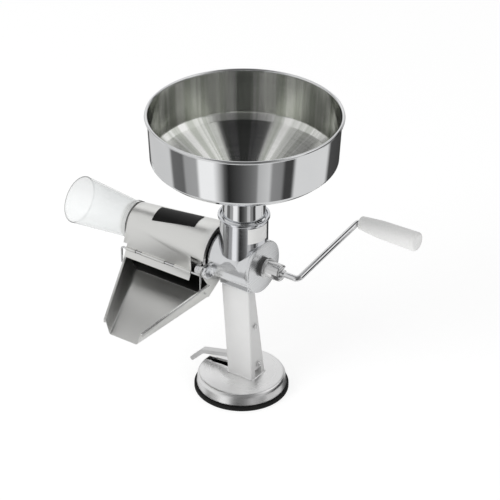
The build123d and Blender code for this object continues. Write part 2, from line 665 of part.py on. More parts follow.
# ---------------------------------------------------------------- screen
def screen_cone():
    """The conical sieve: a short cylinder and a long cone of sheet."""
    x_end = COLLAR_BACK_X
    outer = bar_x(SCREEN_BIG_R, SCREEN_BIG_X, x_end)
    outer += cone_x(SCREEN_SMALL_R, SCREEN_BIG_R, SCREEN_SMALL_X, SCREEN_BIG_X)
    inner = bar_x(SCREEN_BIG_R - SHEET, SCREEN_BIG_X, x_end + 1)
    inner += cone_x(SCREEN_SMALL_R - SHEET, SCREEN_BIG_R - SHEET, SCREEN_SMALL_X, SCREEN_BIG_X)
    inner += bar_x(SCREEN_SMALL_R - SHEET, SCREEN_SMALL_X - 1, SCREEN_SMALL_X + 0.2)
    return outer - inner


def screen_collar():
    """Flange with two lugs and a sleeve over the screen's wide end."""
    sleeve_x = SCREEN_BIG_X + 1.0
    solid = bar_x(COLLAR_R, sleeve_x, COLLAR_BACK_X) + bar_x(COLLAR_FLANGE_R, COLLAR_BACK_X, COLLAR_FACE_X)
    solid += lug_bar(COLLAR_BACK_X, COLLAR_FLANGE_T)
    solid -= bar_x(SCREEN_BIG_R + SCREEN_FIT, sleeve_x - 1, COLLAR_BACK_X)
    solid -= bar_x(SCREEN_BIG_R - SHEET, COLLAR_BACK_X - 1, COLLAR_FACE_X + 1)
    for _, y in stud_places():
        solid -= bar_x(STUD_R + LOOSE_FIT, COLLAR_BACK_X - 1, COLLAR_FACE_X + 1, y, STUD_Z)
    return solid


def screen_gasket():
    """Flat ring between the collar and the chute's end plate."""
    return ring_x(COLLAR_R - 0.5, SCREEN_BIG_R, COLLAR_FACE_X, CHUTE_PLATE_X)


def screen_outlet_ring():
    """Plastic ring at the screen's narrow end that the funnel plugs on."""
    return ring_x(OUTLET_R, OUTLET_R - OUTLET_WALL, OUTLET_END_X, SCREEN_SMALL_X)


def screen_studs():
    """The two studs that stand out of the body's lugs."""
    studs = [
        bar_x(STUD_R - PIN_FIT, STUD_TIP_X, TUBE_LEFT_X + LUG_T, y, STUD_Z) for _, y in stud_places()
    ]
    return Compound(children=studs)


def thumb_nut(y):
    """Closed round nut with a fluted head; bored from its hub's side."""
    hub_end_x = COLLAR_BACK_X - NUT_HUB_T
    head_end_x = hub_end_x - NUT_HEAD_T
    head = bar_x(NUT_R, head_end_x, hub_end_x, y, STUD_Z)
    head = fillet(head.edges().group_by(Axis.X)[0], 2.0)
    for i in range(NUT_FLUTES):
        angle = 2 * math.pi * i / NUT_FLUTES
        centre_y, centre_z = y + NUT_R * math.cos(angle), STUD_Z + NUT_R * math.sin(angle)
        head -= bar_x(0.7, head_end_x - 1, hub_end_x + 1, centre_y, centre_z)
    nut = head + bar_x(NUT_HUB_R, hub_end_x, COLLAR_BACK_X, y, STUD_Z)
    return nut - bar_x(STUD_R + LOOSE_FIT, STUD_TIP_X - SEAT_GAP, COLLAR_BACK_X + 1, y, STUD_Z)


# ---------------------------------------------------------------- chute
def chute_section(y, floor_z, left, right):
    """The U-shaped sheet section of the sloping tray; left and right are (x, outward lean)."""
    top_z = floor_z + CHUTE_WALL_H
    (left_x, left_lean), (right_x, right_lean) = left, right
    points = [
        (left_x - left_lean, top_z),
        (left_x, floor_z),
        (right_x, floor_z),
        (right_x + right_lean, top_z),
        (right_x + right_lean - SHEET, top_z),
        (right_x - SHEET, floor_z + SHEET),
        (left_x + SHEET, floor_z + SHEET),
        (left_x - left_lean + SHEET, top_z),
    ]
    return make_face(Polyline([(x, y, z) for x, z in points], close=True))


def hem_section(y, floor_z, wall, side):
    """A folded hem's section outside the top of one side wall, which is (x, outward lean)."""
    top_z = floor_z + CHUTE_WALL_H
    part = HEM_H / CHUTE_WALL_H
    edge_x, lean = wall
    inner = edge_x + side * (lean - SHEET / 2)
    low_inner = edge_x + side * (lean * (1 - part) - SHEET / 2)
    points = [
        (inner, top_z),
        (low_inner, top_z - HEM_H),
        (low_inner + side * HEM_T, top_z - HEM_H),
        (inner + side * HEM_T, top_z),
    ]
    return make_face(Polyline([(x, y, z) for x, z in points], close=True))


def trough_outline():
    """Outer (y, z) line of the trough's floor and back, from the bend to the back's top."""
    back_y = TROUGH_FLOOR[-1][0]
    return [(CHUTE_BEND_Y, CHUTE_BEND_Z), *TROUGH_FLOOR, (back_y, TROUGH_BACK_TOP_Z)]


def offset_line(points, distance):
    """The same open line moved sideways by distance, to the left of its run."""
    moved = []
    for i, (y, z) in enumerate(points):
        runs = []
        if i > 0:
            runs.append((y - points[i - 1][0], z - points[i - 1][1]))
        if i < len(points) - 1:
            runs.append((points[i + 1][0] - y, points[i + 1][1] - z))
        units = [(dy / math.hypot(dy, dz), dz / math.hypot(dy, dz)) for dy, dz in runs]
        mean = (sum(u[0] for u in units), sum(u[1] for u in units))
        length = math.hypot(*mean)
        normal = (-mean[1] / length, mean[0] / length)
        lean = -units[0][1] * normal[0] + units[0][0] * normal[1]
        moved.append((y + normal[0] * distance / lean, z + normal[1] * distance / lean))
    return moved


def chute():
    """Sloping tray, the trough under the screen, a bolted end plate and a cradle at the outlet."""
    outlet = ((OUTLET_LEFT_X, OUTLET_FLARE), (OUTLET_RIGHT_X, OUTLET_FLARE))
    bend = ((CHUTE_LEFT_X + CHUTE_LEFT_LEAN, CHUTE_LEFT_LEAN), (CHUTE_RIGHT_X, 0.0))
    tray = loft(
        [
            chute_section(OUTLET_Y, OUTLET_Z, *outlet),
            chute_section(CHUTE_BEND_Y, CHUTE_BEND_Z, *bend),
        ],
        ruled=True,
    )
    for outlet_wall, bend_wall, side in zip(outlet, bend, (-1, 1)):
        tray += loft(
            [
                hem_section(OUTLET_Y, OUTLET_Z, outlet_wall, side),
                hem_section(CHUTE_BEND_Y, CHUTE_BEND_Z, bend_wall, side),
            ],
            ruled=True,
        )
    tray += plate_xz(
        [
            (CHUTE_LEFT_X, CHUTE_BEND_Z),
            (CHUTE_LEFT_X + CHUTE_LEFT_LEAN + SHEET / 2, CHUTE_BEND_Z),
            (CHUTE_LEFT_X + SHEET / 2, CHUTE_BEND_Z + CHUTE_WALL_H),
            (CHUTE_LEFT_X, CHUTE_BEND_Z + CHUTE_WALL_H),
        ],
        CHUTE_BEND_Y - SHEET,
        CHUTE_BEND_Y,
    )
    outline = trough_outline()
    inside = offset_line(outline, SHEET)
    trough = plate_yz(outline + inside[::-1], CHUTE_LEFT_X, CHUTE_RIGHT_X)
    solid = tray + trough
    wall_top_z = CHUTE_BEND_Z + CHUTE_WALL_H
    back_y = TROUGH_FLOOR[-1][0]
    lug_front_y = -STUD_Y - LUG_R
    end_plate = plate_yz(
        outline
        + [
            (-lug_front_y, TROUGH_BACK_TOP_Z),
            (lug_front_y, TROUGH_BACK_TOP_Z),
            (lug_front_y, STUD_Z),
            (CHUTE_BEND_Y - 2, wall_top_z),
        ],
        CHUTE_PLATE_X,
        CHUTE_RIGHT_X,
    )
    end_plate -= bar_x(SCREEN_BIG_R - SHEET, CHUTE_PLATE_X - 1, CHUTE_RIGHT_X + 1)
    for _, y in stud_places():
        end_plate -= bar_x(STUD_R + LOOSE_FIT, CHUTE_PLATE_X - 1, CHUTE_RIGHT_X + 1, y, STUD_Z)
    cradle = plate_yz(
        outline
        + [
            (back_y - 10.0, CRADLE_TOP_Z),
            (CRADLE_FRONT_Y, CRADLE_TOP_Z),
            (CHUTE_BEND_Y, wall_top_z),
        ],
        CHUTE_LEFT_X,
        CHUTE_LEFT_X + SHEET,
    )
    cradle -= bar_x(OUTLET_R + CRADLE_FIT, CHUTE_LEFT_X - 1, CHUTE_LEFT_X + SHEET + 1)
    solid += end_plate + cradle
    hole_r = WIRE_R + SCREW_FIT
    solid -= bar_x(hole_r, CHUTE_LEFT_X - 3, CHUTE_LEFT_X + 3, WIRE_Y, WIRE_LEG_Z)
    solid -= bar_x(hole_r, CHUTE_RIGHT_X - 4, CHUTE_RIGHT_X + 3, WIRE_Y, WIRE_RIGHT_FOOT_Z)
    return solid


# ---------------------------------------------------------------- splash guard
def guard_profile(x, outer_r, inset):
    """Points and arc of the guard's line at x: from the back edge over the top to the wire."""
    radius = outer_r - inset
    hinge_y, hinge_z = WIRE_Y, WIRE_Z - AXIS_Z
    reach = math.hypot(hinge_y, hinge_z)
    aim = math.atan2(hinge_z, hinge_y)
    tangent = aim - math.acos(radius / reach)
    tangent %= 2 * math.pi
    start = math.radians(GUARD_BACK_ANGLE)

    def point(angle):
        return (x, radius * math.cos(angle), AXIS_Z + radius * math.sin(angle))

    along = (hinge_y - radius * math.cos(tangent), hinge_z - radius * math.sin(tangent))
    length = math.hypot(*along)
    foot_part = 1 - (WIRE_R + KNUCKLE_GAP) / length
    foot = (
        x,
        radius * math.cos(tangent) + along[0] * foot_part,
        AXIS_Z + radius * math.sin(tangent) + along[1] * foot_part,
    )
    return point(start), point((start + tangent) / 2), point(tangent), foot


def guard_section(x, outer_r):
    """The guard's sheet section at x as a face."""
    a, b, c, d = guard_profile(x, outer_r, 0.0)
    e, f, g, h = guard_profile(x, outer_r, SHEET)
    edges = [
        ThreePointArc(a, b, c),
        Line(c, d),
        Line(d, h),
        Line(h, g),
        ThreePointArc(g, f, e),
        Line(e, a),
    ]
    return make_face(edges)


def splash_guard():
    """Conical sheet over the screen, rolled round the hinge wire, with a drip strip below it."""
    sheet = loft(
        [
            guard_section(GUARD_LEFT_X, GUARD_LEFT_R),
            guard_section(GUARD_RIGHT_X, GUARD_RIGHT_R),
        ],
        ruled=True,
    )
    sheet -= box_between(
        (STRIP_RIGHT_X, -2 * GUARD_RIGHT_R, STRIP_FOOT_Z), (GUARD_RIGHT_X + 1, 0, NOTCH_TOP_Z)
    )
    sheet -= box_between(
        (GUARD_LEFT_X - 1, -2 * GUARD_RIGHT_R, STRIP_FOOT_Z), (STRIP_LEFT_X, 0, WIRE_Z + LEFT_NOTCH_H)
    )
    knuckle_r = WIRE_R + KNUCKLE_GAP + KNUCKLE_WALL
    run = (STRIP_FOOT_Y - WIRE_Y, STRIP_FOOT_Z - WIRE_Z)
    length = math.hypot(*run)
    unit = (run[0] / length, run[1] / length)
    side = (-unit[1] * SHEET / 2, unit[0] * SHEET / 2)
    start = (WIRE_Y + unit[0] * (WIRE_R + KNUCKLE_GAP), WIRE_Z + unit[1] * (WIRE_R + KNUCKLE_GAP))
    strip = plate_yz(
        [
            (start[0] + side[0], start[1] + side[1]),
            (STRIP_FOOT_Y + side[0], STRIP_FOOT_Z + side[1]),
            (STRIP_FOOT_Y - side[0], STRIP_FOOT_Z - side[1]),
            (start[0] - side[0], start[1] - side[1]),
        ],
        STRIP_LEFT_X,
        STRIP_RIGHT_X,
    )
    solid = sheet + strip
    for x_from, x_to in KNUCKLES:
        solid += bar_x(knuckle_r, x_from, x_to, WIRE_Y, WIRE_Z)
    bore = bar_x(WIRE_R + KNUCKLE_GAP, GUARD_LEFT_X - 1, STRIP_RIGHT_X + 1, WIRE_Y, WIRE_Z)
    return solid - bore


def hinge_wire():
    """Wire that carries the guard, with both ends turned down and hooked in the chute's walls."""
    bend = 2 * WIRE_R + 0.4
    path = FilletPolyline(
        (CHUTE_LEFT_X + SHEET + 2.5, WIRE_Y, WIRE_LEG_Z),
        (WIRE_LEFT_X, WIRE_Y, WIRE_LEG_Z),
        (WIRE_LEFT_X, WIRE_Y, WIRE_Z),
        (WIRE_RIGHT_X, WIRE_Y, WIRE_Z),
        (WIRE_RIGHT_X, WIRE_Y, WIRE_RIGHT_FOOT_Z),
        (CHUTE_RIGHT_X - SHEET / 2, WIRE_Y, WIRE_RIGHT_FOOT_Z),
        radius=bend,
    )
    section = Plane(origin=path @ 0, z_dir=path % 0) * Circle(WIRE_R)
    return sweep(section, path)


def guard_plate():
    """Thin black plate that follows the guard's curve near its top."""
    left, right = PLATE_CENTRE_X - PLATE_LENGTH / 2, PLATE_CENTRE_X + PLATE_LENGTH / 2
    shell_left, shell_right = left - PLATE_W, right + PLATE_W
    radii = guard_radius(shell_left), guard_radius(shell_right)
    shell = cone_x(radii[0] + PLATE_T, radii[1] + PLATE_T, shell_left, shell_right)
    shell -= cone_x(*radii, shell_left, shell_right)
    block = Pos(0, 0, GUARD_RIGHT_R) * Box(PLATE_LENGTH, PLATE_W, 2 * GUARD_RIGHT_R)
    turn = Pos(PLATE_CENTRE_X, 0, AXIS_Z) * Rot(PLATE_TILT, 0, 0) * Rot(0, 0, PLATE_TURN_DEG)
    return shell & (turn * block)


# ---------------------------------------------------------------- seed funnel
def seed_funnel():
    """Clear plastic tube that widens to its open end, with a collar that plugs on the screen."""
    collar_end_x = FUNNEL_START_X - FUNNEL_COLLAR_W
    bore_r = OUTLET_R + FUNNEL_FIT
    neck_r = bore_r + FUNNEL_WALL
    bore_end_x = OUTLET_END_X - 1.0
    solid = bar_x(FUNNEL_COLLAR_R, collar_end_x, FUNNEL_START_X)
    solid += bar_x(neck_r, bore_end_x, collar_end_x)
    solid += cone_x(FUNNEL_END_R, neck_r, FUNNEL_END_X, bore_end_x)
    solid -= bar_x(bore_r, bore_end_x, FUNNEL_START_X + 1)
    solid -= cone_x(FUNNEL_END_R - FUNNEL_WALL, bore_r, FUNNEL_END_X, bore_end_x)
    return solid


# ---------------------------------------------------------------- drive
def auger_envelope():
    """The upright space that the auger's flight may fill: the screen's cone, then the bore."""
    straight_r = TUBE_BORE_R - AUGER_GAP
    front_r = screen_radius(AUGER_FRONT_X) - SHEET - AUGER_GAP
    length = AUGER_BACK_X - AUGER_FRONT_X
    outline = [
        (0, 0),
        (front_r, 0),
        (straight_r, SCREEN_BIG_X - AUGER_FRONT_X),
        (straight_r, length),
        (0, length),
    ]
    return turned(outline)


def flight_section(turn):
    """The flight's level section: a sector of a ring, turned by the given angle in degrees."""
    inner_r, outer_r = AUGER_CORE_FRONT_R - 2, TUBE_BORE_R
    half = 180 * FLIGHT_T / FLIGHT_PITCH

    def point(radius, offset):
        angle = math.radians(turn + offset)
        return (radius * math.cos(angle), radius * math.sin(angle), 0)

    edges = [
        Line(point(inner_r, -half), point(outer_r, -half)),
        ThreePointArc(point(outer_r, -half), point(outer_r, 0), point(outer_r, half)),
        Line(point(outer_r, half), point(inner_r, half)),
        ThreePointArc(point(inner_r, half), point(inner_r, 0), point(inner_r, -half)),
    ]
    return Face(Wire(edges))


def auger():
    """Tapered core with one helical flight, made in lengths that are each cut to the envelope."""
    length = AUGER_BACK_X - AUGER_FRONT_X
    solid = loft([Circle(AUGER_CORE_FRONT_R), Pos(0, 0, length) * Circle(AUGER_CORE_BACK_R)])
    envelope = auger_envelope()
    run = (length - 2 * FLIGHT_T) / FLIGHT_PART_COUNT
    turn = 360 * run / FLIGHT_PITCH
    for i in range(FLIGHT_PART_COUNT):
        flight = Solid.extrude_linear_with_rotation(
            flight_section(i * turn), center=(0, 0, 0), normal=(0, 0, run), angle=turn
        )
        solid += (Pos(0, 0, FLIGHT_T + i * run) * flight) & envelope
    solid = Pos(AUGER_FRONT_X, 0, AXIS_Z) * Rot(0, 90, 0) * solid
    return solid - bar_x(SHAFT_R + PIN_FIT, SHAFT_LEFT_X - SEAT_GAP, AUGER_BACK_X + 1)


def auger_shaft():
    """Steel shaft through the bush, with a slimmer tail in the coupling."""
    tail = bar_x(SHAFT_TAIL_R, SHAFT_SHOULDER_X, SHAFT_TAIL_X)
    return bar_x(SHAFT_R, SHAFT_LEFT_X, SHAFT_SHOULDER_X) + tail


def auger_spring():
    """Open coil between the auger and the thrust washer."""
    start_x = AUGER_BACK_X + SPRING_WIRE_R + 0.1
    end_x = WASHER_X - SPRING_WIRE_R - 0.1
    rise = end_x - start_x
    path = Helix(pitch=rise / SPRING_TURNS, height=rise, radius=SPRING_R)
    section = Plane(origin=path @ 0, z_dir=path % 0) * Circle(SPRING_WIRE_R)
    coil = sweep(section, path, is_frenet=True)
    return Pos(start_x, 0, AXIS_Z) * Rot(0, 90, 0) * coil


def thrust_washer():
    """Steel washer that the spring pushes on."""
    return ring_x(BUSH_R + 1, SHAFT_R + PIN_FIT, WASHER_X, SEAL_X)


def shaft_seal():
    """Rubber ring against the body's end wall."""
    return ring_x(BUSH_R + 2, SHAFT_R + SEAT_GAP, SEAL_X, END_WALL_X)


def bearing_bush():
    """Flanged dark bush in the body's end wall."""
    solid = ring_x(BUSH_R - PIN_FIT, SHAFT_R + RUN_FIT, END_WALL_X, DISC_FACE_X)
    return solid + ring_x(BUSH_FLANGE_R, SHAFT_R + RUN_FIT, DISC_FACE_X, BUSH_FLANGE_END_X)


def arm_direction():
    """Unit (y, z) of the crank arm seen along its axis."""
    angle = math.radians(ARM_ANGLE)
    return math.cos(angle), math.sin(angle)


def crank_coupling():
    """Flanged hub with a fork at its end that holds the crank's rod."""
    solid = bar_x(HUB_FLANGE_R, HUB_X, HUB_X + HUB_FLANGE_T) + bar_x(HUB_R, HUB_X + HUB_FLANGE_T, HUB_END_X)
    solid = fillet(solid.edges().group_by(Axis.X)[-1], HUB_EDGE)
    solid -= bar_x(SHAFT_TAIL_R + PIN_FIT, HUB_X - 1, SHAFT_TAIL_X + SEAT_GAP)
    solid -= bar_x(ARM_R + PIN_FIT, ARM_ROOT_X - SEAT_GAP, HUB_END_X + 1)
    fork = box_between(
        (HUB_END_X - FORK_DEPTH, -2 * HUB_R, -FORK_W / 2),
        (HUB_END_X + 1, 2 * HUB_R, FORK_W / 2),
    )
    solid -= Pos(0, 0, AXIS_Z) * Rot(ARM_ANGLE, 0, 0) * fork
    return solid - cross_pin_bar(CROSS_PIN_R + PIN_FIT, 2 * HUB_R)


def cross_pin_bar(radius, reach):
    """A bar through the fork's lobes, square to the arm."""
    along_y, along_z = arm_direction()
    start = (CROSS_PIN_X, reach * along_z, AXIS_Z - reach * along_y)
    end = (CROSS_PIN_X, -reach * along_z, AXIS_Z + reach * along_y)
    return cylinder_between(radius, start, end)


def coupling_pin():
    """Cross pin through both lobes and the crank's rod."""
    return cross_pin_bar(CROSS_PIN_R, HUB_R - 0.4)


def crank_arm():
    """Bent round rod: root in the fork, sloping arm and the grip's spindle, with its pin hole."""
    path = FilletPolyline(
        (ARM_ROOT_X, 0, AXIS_Z),
        (ARM_BEND_X, 0, AXIS_Z),
        (ARM_BEND_X + ARM_LEAN_X, SPINDLE_Y, SPINDLE_Z),
        (SPINDLE_END_X, SPINDLE_Y, SPINDLE_Z),
        radius=ARM_BEND_R,
    )
    section = Plane(origin=path @ 0, z_dir=path % 0) * Circle(ARM_R)
    return sweep(section, path) - cross_pin_bar(CROSS_PIN_R + PIN_FIT, 3 * ARM_R)


def crank_grip():
    """Tapered plastic grip that turns on the spindle."""
    middle_x = share(GRIP_START_X, GRIP_END_X, GRIP_MIDDLE_PART)
    solid = cone_x(GRIP_SMALL_R, GRIP_MIDDLE_R, GRIP_START_X, middle_x, SPINDLE_Y, SPINDLE_Z)
    solid += cone_x(GRIP_MIDDLE_R, GRIP_BIG_R, middle_x, GRIP_END_X, SPINDLE_Y, SPINDLE_Z)
    solid = fillet(solid.edges().group_by(Axis.X)[0], GRIP_EDGE)
    solid -= bar_x(GRIP_MOUTH_R, GRIP_START_X - 1, GRIP_START_X + GRIP_MOUTH_DEPTH, SPINDLE_Y, SPINDLE_Z)
    solid -= bar_x(ARM_R + GRIP_FIT, GRIP_START_X - 1, GRIP_POCKET_X, SPINDLE_Y, SPINDLE_Z)
    return solid - bar_x(GRIP_POCKET_R, GRIP_POCKET_X, GRIP_END_X + 1, SPINDLE_Y, SPINDLE_Z)


def grip_washer():
    """Retaining washer on the spindle, in the grip's pocket."""
    start = GRIP_POCKET_X + SEAT_GAP
    end = start + GRIP_WASHER_T
    return ring_x(GRIP_WASHER_R, ARM_R + PIN_FIT / 5, start, end, SPINDLE_Y, SPINDLE_Z)


def grip_end_cap():
    """Rounded plug that closes the grip's pocket."""
    plug = bar_x(GRIP_POCKET_R - PIN_FIT, GRIP_END_X - GRIP_PLUG_L, GRIP_END_X, SPINDLE_Y, SPINDLE_Z)
    dome = bar_x(GRIP_BIG_R, GRIP_END_X, GRIP_END_X + GRIP_CAP_L, SPINDLE_Y, SPINDLE_Z)
    dome = fillet(dome.edges().group_by(Axis.X)[-1], GRIP_CAP_EDGE)
    return plug + dome


# ---------------------------------------------------------------- all pieces
def pieces():
    """Every node's name and the function that makes it."""
    nuts = {f"thumb_nut_{name}": (lambda y=y: thumb_nut(y)) for name, y in stud_places()}
    return {
        "body_casting": body_casting,
        "pedestal": pedestal,
        "side_screw": side_screw,
        "clamp_bolt": clamp_bolt,
        "suction_cup": suction_cup,
        "suction_stem": suction_stem,
        "stem_pin": stem_pin,
        "lever_pivot_pin": lever_pivot_pin,
        "suction_lever": suction_lever,
        "hopper_bowl": hopper_bowl,
        "hopper_spout": hopper_spout,
        "neck_label": neck_label,
        "screen_cone": screen_cone,
        "screen_collar": screen_collar,
        "screen_gasket": screen_gasket,
        "screen_outlet_ring": screen_outlet_ring,
        "screen_studs": screen_studs,
        "chute": chute,
        "splash_guard": splash_guard,
        "guard_plate": guard_plate,
        "hinge_wire": hinge_wire,
        "seed_funnel": seed_funnel,
        "auger": auger,
        "auger_shaft": auger_shaft,
        "auger_spring": auger_spring,
        "thrust_washer": thrust_washer,
        "shaft_seal": shaft_seal,
        "bearing_bush": bearing_bush,
        "crank_coupling": crank_coupling,
        "coupling_pin": coupling_pin,
        "crank_arm": crank_arm,
        "crank_grip": crank_grip,
        "grip_washer": grip_washer,
        "grip_end_cap": grip_end_cap,
        **nuts,
    }


def main():
    """Write one STEP file per piece."""
    os.makedirs("parts", exist_ok=True)
    for name, make in pieces().items():
        export_step(make(), f"parts/{name}.step")


main()
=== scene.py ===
"""Looks of the hand-cranked strainer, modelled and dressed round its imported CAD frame.

Sizes in the classes are millimetres in the frame of the CAD model; at() and mm() turn them into
metres. +Z is up, +X points to the crank, -X to the seed funnel and -Y to the chute.
"""

import logging
import math
from dataclasses import dataclass
from enum import Enum
from typing import Callable, Optional, Sequence, Union

import bmesh
import bpy
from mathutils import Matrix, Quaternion, Vector


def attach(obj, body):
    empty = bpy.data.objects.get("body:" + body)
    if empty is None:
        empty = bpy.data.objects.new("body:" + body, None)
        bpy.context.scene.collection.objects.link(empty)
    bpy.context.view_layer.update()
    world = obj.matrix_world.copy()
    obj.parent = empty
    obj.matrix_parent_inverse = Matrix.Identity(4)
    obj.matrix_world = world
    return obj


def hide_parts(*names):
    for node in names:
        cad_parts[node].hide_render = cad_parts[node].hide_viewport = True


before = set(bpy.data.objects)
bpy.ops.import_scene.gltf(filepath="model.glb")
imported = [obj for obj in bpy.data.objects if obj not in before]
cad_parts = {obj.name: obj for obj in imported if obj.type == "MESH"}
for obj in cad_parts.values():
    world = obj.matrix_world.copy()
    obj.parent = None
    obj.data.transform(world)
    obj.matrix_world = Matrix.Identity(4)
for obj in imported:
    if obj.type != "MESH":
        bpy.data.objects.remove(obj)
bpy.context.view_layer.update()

LOG = logging.getLogger("strainer")
Piece = bpy.types.Object
Tree = bpy.types.NodeTree
Socket = bpy.types.NodeSocket
Face = bpy.types.MeshPolygon
Marks = tuple[Socket, Socket]
Point = tuple[float, float, float]
Flat = Sequence[tuple[float, float]]
Line = tuple[tuple[float, float], ...]

RIGHT, BACK, UP = Vector((1, 0, 0)), Vector((0, 1, 0)), Vector((0, 0, 1))

# Places that several pieces share: the height of the auger's axis, the neck's axis, the studs of
# the screen's nuts, and the slope of the crank's arm.
AXIS_Z = 200.0
NECK_X = 2.0
STUD_Y, STUD_Z = 38.0, 188.0
ARM_ANGLE = math.atan2(34.0, 120.0)

# Millimetres within which two places are one, and within which vertices are merged.
SAME_PLACE = 0.001
DOUBLES = 0.002

# Values that all finishes share: the part of the fine marks that sets the gloss, the strength of
# the bump, the turn of the polish lines, and how soon the painted shade of clear plastic comes in
# towards grazing sight.
MARK_RANGE = (0.3, 0.7)
BUMP_STRENGTH = 0.5
QUARTER_TURN = 0.25
GRAZING_SHADE_POWER = 1.6

# The power that turns a displayed grey into a linear one.
DISPLAY_GAMMA = 2.2


# ---------------------------------------------------------------- places and lines
def mm(value: float) -> float:
    """Return millimetres as metres."""
    return value / 1000.0


def at(x: float, y: float, z: float) -> Vector:
    """Return the point of the given millimetres, in metres."""
    return Vector((x, y, z)) / 1000.0


@dataclass(frozen=True)
class Board:
    """A flat drawing board in space, on which outlines are drawn in millimetres."""

    origin: Vector
    u: Vector
    v: Vector

    def place(self, a: float, b: float) -> Vector:
        """Return the point in space of the drawn point (a, b)."""
        return self.origin + self.u * mm(a) + self.v * mm(b)


UPRIGHT = Board(at(NECK_X, 0, 0), RIGHT, UP)
FOOT = Board(at(0, 0, 0), RIGHT, UP)
ALONG = Board(at(0, 0, AXIS_Z), UP, RIGHT)


def rounded(
    line: Flat, radii: dict[int, float], steps: int = 6, closed: bool = False
) -> list[tuple[float, float]]:
    """Round corners of a flat line.

    Args:
        line: The corners in order.
        radii: The radius of each corner that is rounded, by its place in the line.
        steps: Straight pieces in each arc.
        closed: Whether the last corner is joined to the first.

    Returns:
        The line with its arcs as points.
    """
    made: list[tuple[float, float]] = []
    count = len(line)
    for i, corner in enumerate(line):
        if i not in radii or (not closed and i in (0, count - 1)):
            made.append(tuple(corner))
            continue
        here = Vector(corner)
        back = (Vector(line[i - 1]) - here).normalized()
        ahead = (Vector(line[(i + 1) % count]) - here).normalized()
        half = back.angle(ahead) / 2
        reach = radii[i] / math.tan(half)
        start, end = here + back * reach, here + ahead * reach
        centre = here + (back + ahead).normalized() * (radii[i] / math.sin(half))
        from_centre, to_centre = start - centre, end - centre
        turn = from_centre.angle_signed(to_centre)
        for k in range(steps + 1):
            angle = -turn * k / steps
            c, s = math.cos(angle), math.sin(angle)
            x = centre.x + from_centre.x * c - from_centre.y * s
            y = centre.y + from_centre.x * s + from_centre.y * c
            made.append((x, y))
    return made


def ribbon(line: Flat, width: float) -> list[tuple[float, float]]:
    """Give a flat line a width.

    Args:
        line: The line's points.
        width: The width.

    Returns:
        The outline of the band along the line.
    """
    sides: tuple[list, list] = ([], [])
    points = [Vector(p) for p in line]
    for i, here in enumerate(points):
        runs = [(b - a).normalized() for a, b in zip(points, points[1:])][max(i - 1, 0) : i + 1]
        mean = sum(runs, Vector((0, 0))).normalized()
        normal = Vector((-mean.y, mean.x))
        lean = normal.dot(Vector((-runs[0].y, runs[0].x)))
        for side, sign in zip(sides, (1, -1)):
            side.append(tuple(here + normal * (sign * width / 2 / lean)))
    return sides[0] + sides[1][::-1]


# ---------------------------------------------------------------- modelling steps
def deselect() -> None:
    """Leave edit mode and deselect everything."""
    if bpy.context.object and bpy.context.object.mode != "OBJECT":
        bpy.ops.object.mode_set(mode="OBJECT")
    bpy.ops.object.select_all(action="DESELECT")


def pick(piece: Piece, *others: Piece) -> None:
    """Select pieces and nothing else.

    Args:
        piece: The piece that becomes active.
        others: Further pieces.
    """
    deselect()
    for each in (piece, *others):
        each.select_set(True)
    bpy.context.view_layer.objects.active = piece


def edit(piece: Piece) -> None:
    """Open a piece in edit mode with all of it selected.

    Args:
        piece: The piece.
    """
    pick(piece)
    bpy.ops.object.mode_set(mode="EDIT")
    bpy.ops.mesh.select_mode(type="VERT")
    bpy.ops.mesh.select_all(action="SELECT")


def named(name: str) -> Piece:
    """Name the active piece and its mesh.

    Args:
        name: The name.

    Returns:
        The piece.
    """
    piece = bpy.context.object
    piece.name = name
    piece.data.name = name
    return piece


def select_where(piece: Piece, test: Callable[[Vector], bool]) -> None:
    """Select the vertices of an open mesh that pass a test.

    Args:
        piece: The piece in edit mode.
        test: Takes a place in metres and says whether the vertex there is wanted.
    """
    bpy.ops.mesh.select_mode(type="VERT")
    bpy.ops.mesh.select_all(action="DESELECT")
    mesh = bmesh.from_edit_mesh(piece.data)
    for vertex in mesh.verts:
        vertex.select_set(test(piece.matrix_world @ vertex.co))
    mesh.select_flush_mode()
    bmesh.update_edit_mesh(piece.data)


def modify(piece: Piece, kind: str, **settings) -> Piece:
    """Add a modifier and apply it.

    Args:
        piece: The piece.
        kind: The modifier's type.
        settings: The modifier's settings.

    Returns:
        The piece.
    """
    pick(piece)
    modifier = piece.modifiers.new(kind.lower(), kind)
    for key, value in settings.items():
        setattr(modifier, key, value)
    bpy.ops.object.modifier_apply(modifier=modifier.name)
    return piece


def trace(name: str, places: Sequence[Vector]) -> Piece:
    """Draw a wire from place to place, vertex after vertex.

    Args:
        name: The new piece's name.
        places: Its places in metres.

    Returns:
        The piece, still open in edit mode.
    """
    deselect()
    bpy.ops.mesh.primitive_plane_add(size=mm(1), location=places[0])
    piece = named(name)
    edit(piece)
    bpy.ops.mesh.merge(type="CENTER")
    for here, there in zip(places, places[1:]):
        bpy.ops.mesh.extrude_vertices_move(TRANSFORM_OT_translate={"value": there - here})
    return piece


def panel(name: str, corners: Sequence[Vector]) -> Piece:
    """Draw a flat face.

    Args:
        name: The new piece's name.
        corners: Its corners in metres, in order.

    Returns:
        The piece, still open in edit mode with all of it selected.
    """
    piece = trace(name, corners)
    bpy.ops.mesh.select_all(action="SELECT")
    bpy.ops.mesh.edge_face_add()
    return piece


